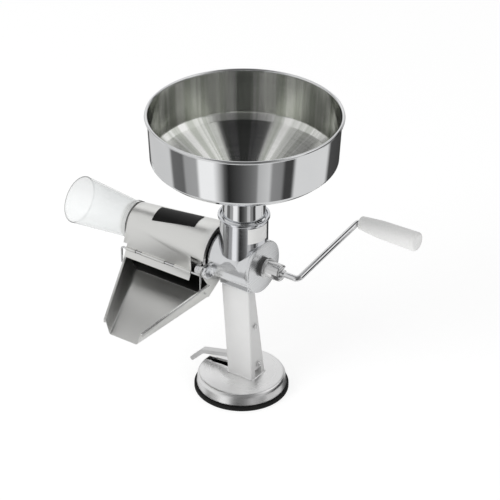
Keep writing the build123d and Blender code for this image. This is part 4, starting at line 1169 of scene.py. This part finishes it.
# ---------------------------------------------------------------- screen's nuts
@dataclass
class ThumbNut:
    """A closed round nut with grooves and a fluted rim, of which each stud carries one."""

    back_x: float = -38.5
    hub_x: float = -39.9
    end_x: float = -47.4
    bore_end_x: float = -45.3
    radius: float = 7.0
    hub_r: float = 5.6
    bore_r: float = 3.3
    flutes: int = 18
    flute_r: float = 0.55

    def build(self) -> None:
        """Model the front nut, copy it to the back stud and seat both."""
        front = self.model()
        back = front.copy()
        back.data = front.data.copy()
        front.users_collection[0].objects.link(back)
        back.location.y += mm(2 * STUD_Y)
        for nut, label in ((front, "front"), (back, "back")):
            nut.name = nut.data.name = f"thumb_nut_{label}_turned"
            seat(nut, f"nut_{label}", "nut_steel", CHROME, f"thumb_nut_{label}")

    def model(self) -> Piece:
        """Turn the nut of the front stud and cut its flutes and bore.

        Returns:
            The nut.
        """
        board = Board(at(0, -STUD_Y, STUD_Z), UP, RIGHT)
        r, end, bore, bore_end = self.radius, self.end_x, self.bore_r, self.bore_end_x
        line = [
            (0.0, end), (4.6, end), (r, end + 2.2), (r, end + 3.4), (r - 0.8, end + 3.8),
            (r, end + 4.2), (r, self.hub_x), (self.hub_r, self.hub_x), (self.hub_r, self.back_x),
            (bore, self.back_x), (bore, bore_end), (0.0, bore_end),
        ]
        outline = rounded(line, {1: 2.0, 2: 1.2, 6: 0.3}, 4, True)
        nut = turned("thumb_nut_front_turned", board, outline, steps=72)
        cutters = []
        for i in range(self.flutes):
            angle = math.tau * i / self.flutes
            y, z = -STUD_Y + r * math.cos(angle), STUD_Z + r * math.sin(angle)
            cutters.append(bar_x("flute", self.flute_r, end - 1, self.hub_x + 0.5, y, z, 12))
        return combine(nut, join("flutes", *cutters))


# ---------------------------------------------------------------- chute
@dataclass
class Chute:
    """The sheet steel tray, its trough, end plate, cradle and folded hems."""

    left_x: float = -168.0
    right_x: float = -33.0
    wall_h: float = 20.0
    bend: tuple[float, float] = (-30.0, 144.6)
    outlet: tuple[float, float] = (-134.0, 109.0)
    outlet_x: tuple[float, float] = (-119.5, -74.5)
    flare: float = 7.0
    lean: float = 16.0
    trough: Line = ((-4.7, 158.4), (18.0, 159.6), (42.0, 170.0), (50.0, 186.0), (50.0, 198.0))
    sheet: float = 1.0
    window_r: float = 29.0
    stud_hole_r: float = 3.3
    seat_r: float = 24.2
    tray_bend: float = 2.2
    trough_bend: float = 4.0
    hem_w: float = 2.6
    hem_h: float = 5.0
    hem_inside: float = 0.3
    hem_reach: float = 5.0
    hem_depth: float = 1.2
    fold_margin: float = 3.0
    side_margin: float = 2.0
    sideways: float = 0.6

    def build(self) -> None:
        """Fold the sheets and seat them as one piece."""
        tray = self.folded("tray", self.tray_panels(), self.tray_bend)
        trough = self.folded("trough", self.trough_panels(), self.trough_bend)
        plates = (self.end_plate(), self.cradle(), self.hem(-1), self.hem(1))
        whole = join("chute_sheet", tray, trough, *plates)
        seat(whole, "base", "chute_steel", TRAY_STEEL, "chute")
        # Painted shade on the trough and on the left wall's inner face, and a painted highlight on the
        # right hem.
        redress(whole, self.finish_index, TROUGH_PAINTED_SHADE, TRAY_WALL_PAINTED_SHADE, HEM_PAINTED_HIGHLIGHT)

    def finish_index(self, face: Face) -> int:
        """Tell which finish a face of the sheets gets.

        Args:
            face: The face.

        Returns:
            1 for the trough's painted shade, 2 for the painted shade on the inner face of the left
            wall, 3 for the painted highlight on the right hem and 0 elsewhere.
        """
        (by, bz), (oy, oz) = self.bend, self.outlet
        x, y, z = face.center * 1000
        part = (y - by) / (oy - by)
        hem_x = self.right_x + (self.outlet_x[1] + self.flare - self.right_x) * part
        hem_z = bz + (oz - bz) * part + self.wall_h
        between = self.left_x + self.side_margin < x < self.right_x - self.side_margin
        if y > by + self.fold_margin and between:
            return 1
        if face.normal.x > self.sideways and x < self.outlet_x[0]:
            return 2
        return 3 if abs(x - hem_x) < self.hem_reach and z > hem_z - self.hem_depth else 0

    def tray_panels(self) -> list[list[Vector]]:
        """Lay out the tray.

        Returns:
            The corners of its left wall, floor and right wall.
        """
        (by, bz), (oy, oz) = self.bend, self.outlet
        low_left, low_right = at(self.left_x + self.lean, by, bz), at(self.right_x, by, bz)
        out_left, out_right = at(self.outlet_x[0], oy, oz), at(self.outlet_x[1], oy, oz)
        top_left = at(self.left_x, by, bz + self.wall_h)
        top_right = at(self.right_x, by, bz + self.wall_h)
        rim_left = at(self.outlet_x[0] - self.flare, oy, oz + self.wall_h)
        rim_right = at(self.outlet_x[1] + self.flare, oy, oz + self.wall_h)
        return [
            [top_left, rim_left, out_left, low_left],
            [low_left, out_left, out_right, low_right],
            [low_right, out_right, rim_right, top_right],
        ]

    def trough_panels(self) -> list[list[Vector]]:
        """Lay out the trough from the bend to its back edge.

        Returns:
            The corners of its strips.
        """
        line = [self.bend, *self.trough]
        return [
            [at(self.left_x, *a), at(self.left_x, *b), at(self.right_x, *b), at(self.right_x, *a)]
            for a, b in zip(line, line[1:])
        ]

    def folded(self, name: str, panels: list[list[Vector]], bend: float) -> Piece:
        """Join flat panels along their folds, round the folds and thicken the sheet.

        Args:
            name: The new piece's name.
            panels: The corners of each panel in metres.
            bend: The width of a rounded fold in millimetres.

        Returns:
            The folded sheet.
        """
        parts = []
        for corners in panels:
            parts.append(panel("panel", corners))
            bpy.ops.object.mode_set(mode="OBJECT")
        sheet = join(name, *parts)
        edit(sheet)
        bpy.ops.mesh.remove_doubles(threshold=mm(0.01))
        bpy.ops.mesh.normals_make_consistent(inside=False)
        mesh = bmesh.from_edit_mesh(sheet.data)
        bpy.ops.mesh.select_mode(type="EDGE")
        bpy.ops.mesh.select_all(action="DESELECT")
        for edge in mesh.edges:
            edge.select_set(len(edge.link_faces) == 2)
        bmesh.update_edit_mesh(sheet.data)
        bpy.ops.mesh.bevel(offset=mm(bend), segments=5, affect="EDGES")
        mesh = bmesh.from_edit_mesh(sheet.data)
        up = sum((face.normal.z * face.calc_area() for face in mesh.faces))
        bpy.ops.object.mode_set(mode="OBJECT")
        side = 1.0 if up > 0 else -1.0
        modify(sheet, "SOLIDIFY", thickness=mm(self.sheet), offset=side, use_even_offset=True)
        return soften(sheet, 0.25, 2, 60)

    def hem(self, side: int) -> Piece:
        """Return the folded hem along the top of one side wall.

        Args:
            side: -1 for the left wall and 1 for the right wall.

        Returns:
            The hem.
        """
        (by, bz), (oy, oz) = self.bend, self.outlet
        back_x = self.left_x if side < 0 else self.right_x
        front_x = self.outlet_x[0] - self.flare if side < 0 else self.outlet_x[1] + self.flare
        a, b = at(back_x, by, bz + self.wall_h), at(front_x, oy, oz + self.wall_h)
        out, drop = at(side * self.hem_w, 0, 0), at(0, 0, -self.hem_h)
        piece = panel("hem", [a, b, b + drop, a + drop])
        bpy.ops.transform.translate(value=-out * self.hem_inside)
        across = out * (1 + self.hem_inside)
        bpy.ops.mesh.extrude_region_move(TRANSFORM_OT_translate={"value": across})
        close_up(piece)
        return soften(piece, 0.9, 4)

    def end_plate(self) -> Piece:
        """Cut the plate that is bolted between the body and the screen's collar.

        Returns:
            The plate.
        """
        board = Board(at(-34, 0, 0), BACK, UP)
        line = [self.bend, *self.trough, (47, 198), (-47, 198), (-47, STUD_Z), (-32, 164.6)]
        radii = {6: 4.0, 7: 5.0, 8: 5.0}
        piece = plate("end_plate", board, rounded(line, radii, 5, True), at(self.sheet, 0, 0))
        combine(piece, bar_x("window", self.window_r, -40, -28))
        for side in (-1, 1):
            combine(piece, bar_x("stud_hole", self.stud_hole_r, -40, -28, side * STUD_Y, STUD_Z))
        return piece

    def cradle(self) -> Piece:
        """Cut the plate that carries the screen's outlet ring.

        Returns:
            The plate.
        """
        board = Board(at(self.left_x, 0, 0), BACK, UP)
        line = [self.bend, *self.trough, (40, 188), (-28, 188), (-30, 164.6)]
        piece = plate("cradle", board, line, at(self.sheet, 0, 0))
        return combine(piece, bar_x("seat", self.seat_r, -175, -160))


# ---------------------------------------------------------------- splash guard and its wire
@dataclass
class SplashGuard:
    """The conical sheet over the screen, its knuckles, its drip strip and the hinge wire."""

    left: tuple[float, float] = (-170.0, 27.0)
    right: tuple[float, float] = (-35.2, 40.0)
    wire: tuple[float, float] = (-36.0, 177.5)
    wire_r: float = 1.4
    wire_bend: float = 3.2
    wire_foot_z: float = 152.5
    wire_x: tuple[float, float, float, float] = (-164.5, -171.6, -42.0, -33.5)
    strip_x: tuple[float, float] = (-164.0, -57.0)
    knuckles: tuple[tuple[float, float], ...] = ((-164.0, -148.0), (-138.0, -100.0), (-84.0, -57.0))
    back_angle: float = 10.0
    arc_steps: int = 48
    thick: float = 1.0

    def end_line(self, x: float, radius: float) -> list[Vector]:
        """Lay out the sheet's line at one end, from its back edge to the wire.

        Args:
            x: The end's place along X in millimetres.
            radius: The cone's radius there in millimetres.

        Returns:
            The line's points in metres.
        """
        hinge = Vector((self.wire[0], self.wire[1] - AXIS_Z))
        aim = math.atan2(hinge.y, hinge.x) % math.tau
        tangent = aim - math.acos(radius / hinge.length)
        start = math.radians(self.back_angle)
        angles = [start + (tangent - start) * i / self.arc_steps for i in range(self.arc_steps + 1)]
        line = [Vector((radius * math.cos(a), radius * math.sin(a))) for a in angles]
        run = hinge - line[-1]
        line.append(line[-1] + run * (1 - (self.wire_r + 0.6) / run.length))
        return [at(x, p.x, AXIS_Z + p.y) for p in line]

    def sheet(self) -> Piece:
        """Bridge the conical sheet from end to end, thicken it inwards and cut its notches.

        Returns:
            The sheet.
        """
        parts = []
        for x, radius in (self.left, self.right):
            parts.append(trace("guard_end", self.end_line(x, radius)))
            bpy.ops.object.mode_set(mode="OBJECT")
        piece = join("guard_sheet", *parts)
        edit(piece)
        bpy.ops.mesh.bridge_edge_loops(number_cuts=8, interpolation="LINEAR")
        close_up(piece)
        place, middle = piece.matrix_world, at(-100, 0, AXIS_Z)
        outward = sum(p.normal.dot(place @ p.center - middle) for p in piece.data.polygons)
        inward = -1.0 if outward > 0 else 1.0
        modify(piece, "SOLIDIFY", thickness=mm(self.thick), offset=inward, use_even_offset=True)
        combine(piece, block("right_notch", (self.strip_x[1], -80, 150), (-30, 0, 203)))
        combine(piece, block("left_notch", (-175, -80, 150), (self.strip_x[0], 0, 183.5)))
        return soften(piece, 0.25, 2, 60)

    def strip(self) -> Piece:
        """Model the drip strip below the wire with its knuckles.

        Returns:
            The strip.
        """
        board = Board(at(self.strip_x[0], 0, 0), BACK, UP)
        y, z = self.wire
        line = ribbon([(y - 0.75, z - 1.55), (-41.0, 167.0)], 1.0)
        length = at(self.strip_x[1] - self.strip_x[0], 0, 0)
        parts = [soften(plate("drip_strip", board, line, length), 0.3, 2)]
        ring = Board(at(0, y, z), UP, RIGHT)
        for x_from, x_to in self.knuckles:
            line = [(1.55, x_from), (2.55, x_from), (2.55, x_to), (1.55, x_to)]
            parts.append(turned("knuckle", ring, rounded(line, {1: 0.3, 2: 0.3}, 3, True), steps=28))
        return join("guard_strip", *parts)

    def build(self) -> None:
        """Model the guard and the wire and seat them."""
        guard = join("splash_guard_sheet", self.sheet(), self.strip())
        seat(guard, "guard", "guard_steel", SHEET_STEEL, "splash_guard")
        y, top = self.wire
        foot = self.wire_foot_z
        tip, left, right, end = self.wire_x
        corners = [(tip, foot), (left, foot), (left, top), (right, top), (right, foot), (end, foot)]
        path = [at(x, y, z) for x, z in corners]
        wire = rod("hinge_wire_bent", path, self.wire_r, self.wire_bend, 20)
        seat(wire, "base", "wire_steel", CHROME, "hinge_wire")


# ---------------------------------------------------------------- funnel
@dataclass
class SeedFunnel:
    """The clear tube that widens to its open end."""

    bore_r: float = 24.2
    wall: float = 1.8
    collar_r: float = 27.6
    start_x: float = -172.0
    collar_x: float = -178.0
    neck_x: float = -185.0
    end: tuple[float, float] = (-271.0, 33.6)
    rim_tilt: float = 0.5

    def build(self) -> None:
        """Turn the funnel and seat it, with painted shade on its end faces."""
        end_x, end_r = self.end
        neck_r = self.bore_r + self.wall
        line = [
            (self.bore_r, self.start_x), (self.collar_r, self.start_x), (self.collar_r, self.collar_x),
            (neck_r, self.collar_x), (neck_r, self.neck_x), (end_r, end_x), (end_r - self.wall, end_x),
            (self.bore_r, self.neck_x),
        ]
        radii = {0: 0.5, 1: 1.0, 2: 1.0, 3: 0.8, 5: 0.8, 6: 0.8}
        funnel = turned("seed_funnel_moulded", ALONG, rounded(line, radii, 4, True), steps=96)
        seat(funnel, "funnel", "clear_plastic", CLEAR, "seed_funnel")
        # Faces that look along the axis get the painted shade of the rim.
        redress(funnel, lambda face: abs(face.normal.x) > self.rim_tilt, CLEAR_RIM_PAINTED_SHADE)


# ---------------------------------------------------------------- drive
@dataclass
class Drive:
    """Bush, coupling, cross pin, crank arm and grip."""

    bush_bore_r: float = 8.06
    bush_r: float = 13.0
    bush_x: tuple[float, float] = (34.2, 38.6)
    hub_x: float = 38.75
    flange_x: float = 41.75
    hub_end_x: float = 63.0
    hub_r: float = 11.5
    flange_r: float = 14.0
    fork_w: float = 8.3
    fork_depth: float = 10.0
    tail_bore_r: float = 5.05
    pin_x: float = 57.0
    pin_r: float = 2.5
    pin_l: float = 22.0
    pin_play: float = 0.05
    arm_r: float = 4.0
    bend_x: float = 87.5
    arm_end: tuple[float, float, float] = (103.3, 120.0, 234.0)
    arm_bend: float = 6.0
    spindle_end_x: float = 182.0

    def arm_board(self) -> Board:
        """Return the board across the axis with u along the arm."""
        along = Vector((0, math.cos(ARM_ANGLE), math.sin(ARM_ANGLE)))
        return Board(at(self.pin_x, 0, AXIS_Z), along, along.cross(RIGHT))

    def build(self) -> None:
        """Model each piece of the drive and seat it."""
        (low, high), bore = self.bush_x, self.bush_bore_r
        line = [(bore, low), (self.bush_r, low), (self.bush_r, high), (bore, high)]
        bush = turned("bush_flange", ALONG, rounded(line, {1: 0.3, 2: 0.8}, 4, True), steps=64)
        # The bush flange's dark grey is partly painted shade behind the coupling.
        seat(bush, "base", "bush_plastic", DARK_BUSH_AND_PAINTED_SHADE)
        seat(self.coupling(), "crank", "coupling_steel", HUB_STEEL, "crank_coupling")
        across = self.arm_board()
        half = self.pin_l / 2
        pin = bar("cross_pin", self.pin_r, across.place(0, -half), across.place(0, half), 32)
        soften(pin, 0.5, 3)
        seat(pin, "crank", "pin_steel", BRIGHT_STEEL, "coupling_pin")
        corner = at(self.bend_x, 0, AXIS_Z)
        path = [at(50, 0, AXIS_Z), corner, at(*self.arm_end), at(self.spindle_end_x, *self.arm_end[1:])]
        arm = rod("crank_arm_bent", path, self.arm_r, self.arm_bend, 32)
        seat(soften(arm, 0.4, 2, 60), "crank", "arm_chrome", CHROME, "crank_arm")
        self.grip()

    def coupling(self) -> Piece:
        """Turn the flanged hub and cut its fork and bores.

        Returns:
            The hub.
        """
        line = [
            (0, self.hub_x), (self.flange_r, self.hub_x), (self.flange_r, self.flange_x),
            (self.hub_r, self.flange_x), (self.hub_r, self.hub_end_x), (0, self.hub_end_x),
        ]
        outline = rounded(line, {1: 0.5, 2: 0.8, 3: 0.8, 4: 2.5}, 5, True)
        hub = turned("coupling_hub", ALONG, outline, steps=72)
        across = self.arm_board()
        reach, half = 20.0, self.fork_w / 2
        slot_board = Board(across.place(-reach, 0) + at(-4.0, 0, 0), RIGHT, across.v)
        depth = self.fork_depth + 4
        corners = [(0, -half), (depth, -half), (depth, half), (0, half)]
        slot = rounded(corners, {0: 1.2, 3: 1.2}, 4, True)
        combine(hub, plate("fork", slot_board, slot, across.u * mm(2 * reach)))
        combine(hub, bar_x("tail_bore", self.tail_bore_r, 36, 48.3))
        combine(hub, bar_x("rod_bore", self.arm_r + self.pin_play, 49.7, 70))
        hole_r = self.pin_r + self.pin_play
        combine(hub, bar("pin_hole", hole_r, across.place(0, -reach), across.place(0, reach), 32))
        return soften(hub, 0.35, 2, 50)

    def grip(self) -> None:
        """Turn the grip and its end cap and seat them."""
        _, y, z = self.arm_end
        board = Board(at(0, y, z), UP, RIGHT)
        line = [
            (4.1, 111.0), (6.4, 111.0), (6.4, 107.0), (9.0, 107.0), (12.1, 137.3), (13.0, 189.0),
            (8.0, 189.0), (8.0, 178.0), (4.1, 178.0),
        ]
        outline = rounded(line, {2: 0.6, 3: 1.6, 4: 120.0, 5: 0.5}, 8, True)
        body = turned("grip_moulded", board, outline, steps=96)
        seat(body, "grip", "grip_plastic", WHITE_GRIP, "crank_grip")
        line = [(0, 185.0), (7.95, 185.0), (7.95, 189.0), (13.0, 189.0), (13.0, 195.0), (0, 195.0)]
        cap = turned("grip_cap_moulded", board, rounded(line, {3: 0.5, 4: 3.5}, 7, True), steps=96)
        seat(cap, "grip", "grip_plastic", WHITE_GRIP, "grip_end_cap")


# ---------------------------------------------------------------- pieces kept from the CAD
KEPT: tuple[tuple[Finish, tuple[str, ...]], ...] = (
    (BRIGHT_STEEL, ("side_screw", "clamp_bolt", "suction_stem", "stem_pin", "lever_pivot_pin")),
    (BRIGHT_STEEL, ("screen_collar", "screen_studs", "auger_shaft", "auger_spring")),
    (BRIGHT_STEEL, ("thrust_washer", "grip_washer")),
    (BLACK_RUBBER, ("suction_cup", "screen_gasket", "shaft_seal")),
    (WHITE_PLASTIC, ("screen_outlet_ring", "auger")),
    (SIEVE_STEEL, ("screen_cone",)),
    (BLACK_ENAMEL, ("guard_plate",)),
    (DARK_BUSH_AND_PAINTED_SHADE, ("bearing_bush",)),
    (PAPER, ("neck_label",)),
)


def dress_kept() -> None:
    """Give every CAD piece that still shows its finish."""
    for dress, nodes in KEPT:
        for node in nodes:
            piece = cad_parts[node]
            piece.data.materials.clear()
            piece.data.materials.append(dress.material())
            LOG.info("%s kept from the CAD as %s", node, dress.name)


# ---------------------------------------------------------------- studio
@dataclass(frozen=True)
class Lamp:
    """A square soft lamp: its place and side in metres and its power in watts."""

    name: str
    place: Point
    size: float
    power: float


@dataclass
class Studio:
    """Floor, surroundings, lamps and camera.

    A ring holds the greys that polished metal sees at one height of the sky: pairs of degrees from
    the camera's side and the grey as displayed. A rise is the pair of heights, on a sphere of radius
    1, between which one zone fades into the next.
    """

    azimuth: float = 34.08
    elevation: float = 31.43
    distance: float = 3001.0
    target: tuple[float, float, float] = (12.21, -0.33, 218.39)
    roll: float = 0.53
    lens: float = 165.4
    sensor: float = 36.0
    sight: float = 20.0
    low_ring: Line = (
        (-180, 0.3), (-160, 0.35), (-155, 0.80), (-102, 0.82), (-97, 0.42), (-80, 0.40), (-76, 0.62),
        (-60, 0.64), (-56, 0.98), (-38, 0.98), (-24, 0.36), (-19, 0.16), (-4, 0.30), (8, 0.42),
        (15, 0.50), (18, 0.72), (31, 0.80), (35, 0.55), (47, 0.52), (51, 0.26), (61, 0.26),
        (66, 0.86), (118, 0.86), (126, 0.3), (170, 0.25),
    )
    middle_ring: Line = (
        (-180, 0.86), (-120, 0.86), (-30, 0.84), (-18, 0.4), (20, 0.4), (45, 0.75), (66, 0.7),
        (72, 0.06), (128, 0.06), (134, 0.7), (150, 0.80),
    )
    high_ring: Line = (
        (-180, 0.92), (-148, 0.94), (-142, 0.4), (-126, 0.4), (-118, 0.86), (-60, 0.84), (-45, 0.6),
        (-10, 0.45), (20, 0.45), (50, 0.6), (64, 0.95), (130, 0.95), (134, 0.3), (148, 0.3), (156, 0.8),
    )
    top_ring: Line = (
        (-180, 0.5), (-135, 0.4), (-126, 0.28), (-122, 1.0), (-106, 1.0), (-100, 0.5), (-60, 0.55),
        (0, 0.3), (60, 0.5), (98, 0.3), (104, 1.0), (130, 1.0), (136, 0.4),
    )
    ring_rises: Line = ((-0.76, -0.68), (-0.42, -0.32), (0.28, 0.45), (0.86, 0.90))
    zenith_rise: tuple[float, float] = (0.950, 0.968)
    zenith: tuple[float, float, float, float] = (0.02, 0.02, 0.022, 1)
    nadir_grey: float = 0.72
    ambient_grey: float = 0.52
    floor_side: float = 6.0
    floor_drop: float = 0.1
    floor_grey: float = 0.30
    floor_glow: float = 0.80
    lamp_aim_z: float = 220.0
    lamp_set: tuple[Lamp, ...] = (
        Lamp("key", (-1.0, -2.2, 1.7), 1.4, 34.0),
        Lamp("fill", (2.0, -0.6, 1.6), 1.2, 3.0),
    )

    def back(self) -> Vector:
        """Return the unit vector from the target to the camera."""
        az, el = math.radians(self.azimuth), math.radians(self.elevation)
        return Vector((math.sin(az) * math.cos(el), -math.cos(az) * math.cos(el), math.sin(el)))

    def camera(self) -> None:
        """Add the camera at the photograph's viewpoint."""
        place = at(*self.target) + self.back() * mm(self.distance)
        deselect()
        bpy.ops.object.camera_add(location=place)
        camera = bpy.context.object
        camera.rotation_mode = "QUATERNION"
        aim = (-self.back()).to_track_quat("-Z", "Y")
        roll = Quaternion((0, 0, 1), math.radians(self.roll))
        camera.rotation_quaternion = aim @ roll
        camera.data.lens = self.lens
        camera.data.sensor_width = self.sensor
        camera.data.clip_end = self.sight
        bpy.context.scene.camera = camera

    def ring(self, tree: Tree, stops: Flat, turn: Socket) -> Socket:
        """Add a colour ramp of grey values by direction.

        Args:
            tree: The world's node tree.
            stops: (degrees from the camera's side, displayed grey) pairs.
            turn: The socket with the direction as a share of a full turn.

        Returns:
            The ramp's colour socket.
        """
        ramp = add_node(tree, "ValToRGB", {0: turn})
        camera_side = math.degrees(math.atan2(self.back().y, self.back().x))
        places = sorted(
            ((degrees + camera_side + 180) % 360 / 360, shown**DISPLAY_GAMMA)
            for degrees, shown in stops
        )
        first, last = places[0], places[-1]
        gap = first[0] + 1 - last[0]
        seam = last[1] + (first[1] - last[1]) * (1 - last[0]) / gap
        elements = ramp.color_ramp.elements
        for element, position in zip(elements, (0.0, 1.0)):
            element.position, element.color = position, grey(seam)
        for position, value in places:
            elements.new(position).color = grey(value)
        return ramp.outputs[0]

    def surroundings(self) -> None:
        """Make the world: white to the eye, even to matt surfaces, banded panels to polished metal."""
        world = bpy.data.worlds.new("studio")
        bpy.context.scene.world = world
        world.use_nodes = True
        tree = world.node_tree
        place = add_node(tree, "TexCoord").outputs["Generated"]
        x, y, z = add_node(tree, "SeparateXYZ", {0: place}).outputs
        share = math_node(tree, "DIVIDE", math_node(tree, "ARCTAN2", y, x), math.tau)
        turn = math_node(tree, "ADD", share, 0.5)
        rings = (self.low_ring, self.middle_ring, self.high_ring, self.top_ring)
        panels = grey(self.nadir_grey)
        for stops, rise in zip(rings, self.ring_rises):
            panels = mix_node(tree, self.step(tree, z, *rise), panels, self.ring(tree, stops, turn))
        panels = mix_node(tree, self.step(tree, z, *self.zenith_rise), panels, self.zenith)
        path = add_node(tree, "LightPath").outputs
        seen = mix_node(tree, path["Is Glossy Ray"], grey(self.ambient_grey), panels)
        direct = math_node(tree, "MAXIMUM", path["Is Camera Ray"], path["Is Transmission Ray"])
        seen = mix_node(tree, direct, seen, grey(1.0))
        feed(tree, tree.nodes["Background"], {"Color": seen, "Strength": 1.0})

    def step(self, tree: Tree, height: Socket, start: float, end: float) -> Socket:
        """Add a soft step between two heights of the sky's sphere.

        Args:
            tree: The world's node tree.
            height: The socket with the height.
            start: Where the step starts to rise from 0.
            end: Where it reaches 1.

        Returns:
            The step's socket.
        """
        rise = {"Value": height, "From Min": start, "From Max": end}
        return add_node(tree, "MapRange", rise, interpolation_type="SMOOTHSTEP").outputs["Result"]

    def floor(self) -> None:
        """Add the pale floor, which polished metal looks through to the studio's panels."""
        deselect()
        bpy.ops.mesh.primitive_plane_add(size=self.floor_side, location=(0, 0, mm(-self.floor_drop)))
        floor = named("floor")
        material = bpy.data.materials.new("floor_white")
        material.use_nodes = True
        tree = material.node_tree
        shader = tree.nodes["Principled BSDF"]
        surface = {
            "Base Color": grey(self.floor_grey),
            "Roughness": 1.0,
            "Specular IOR Level": 0.0,
            "Emission Color": grey(1.0),
            "Emission Strength": self.floor_glow,
        }
        feed(tree, shader, surface)
        glossy = add_node(tree, "LightPath").outputs["Is Glossy Ray"]
        clear = add_node(tree, "BsdfTransparent").outputs[0]
        either = add_node(tree, "MixShader", {0: glossy, 1: shader.outputs[0], 2: clear})
        feed(tree, tree.nodes["Material Output"], {"Surface": either.outputs[0]})
        floor.data.materials.append(material)

    def lamps(self) -> None:
        """Add the soft lamps, which polished metal doesn't see."""
        for each in self.lamp_set:
            deselect()
            bpy.ops.object.light_add(type="AREA", location=each.place)
            lamp = bpy.context.object
            lamp.name = each.name
            lamp.data.size = each.size
            lamp.data.energy = each.power
            lamp.visible_glossy = False
            aim = at(0, 0, self.lamp_aim_z) - Vector(each.place)
            lamp.rotation_euler = aim.to_track_quat("-Z", "Y").to_euler()

    def build(self) -> None:
        """Set up the whole studio."""
        self.camera()
        self.surroundings()
        self.floor()
        self.lamps()
        bpy.context.scene.view_settings.view_transform = "Standard"


def main() -> None:
    """Build the studio and every sub-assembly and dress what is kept."""
    logging.basicConfig(level=logging.INFO, format="%(name)s: %(message)s")
    Studio().build()
    Hopper().build()
    Body().build()
    Pedestal().build()
    SuctionLever().build()
    ThumbNut().build()
    Chute().build()
    SplashGuard().build()
    SeedFunnel().build()
    Drive().build()
    dress_kept()


if __name__ == "__main__":
    main()
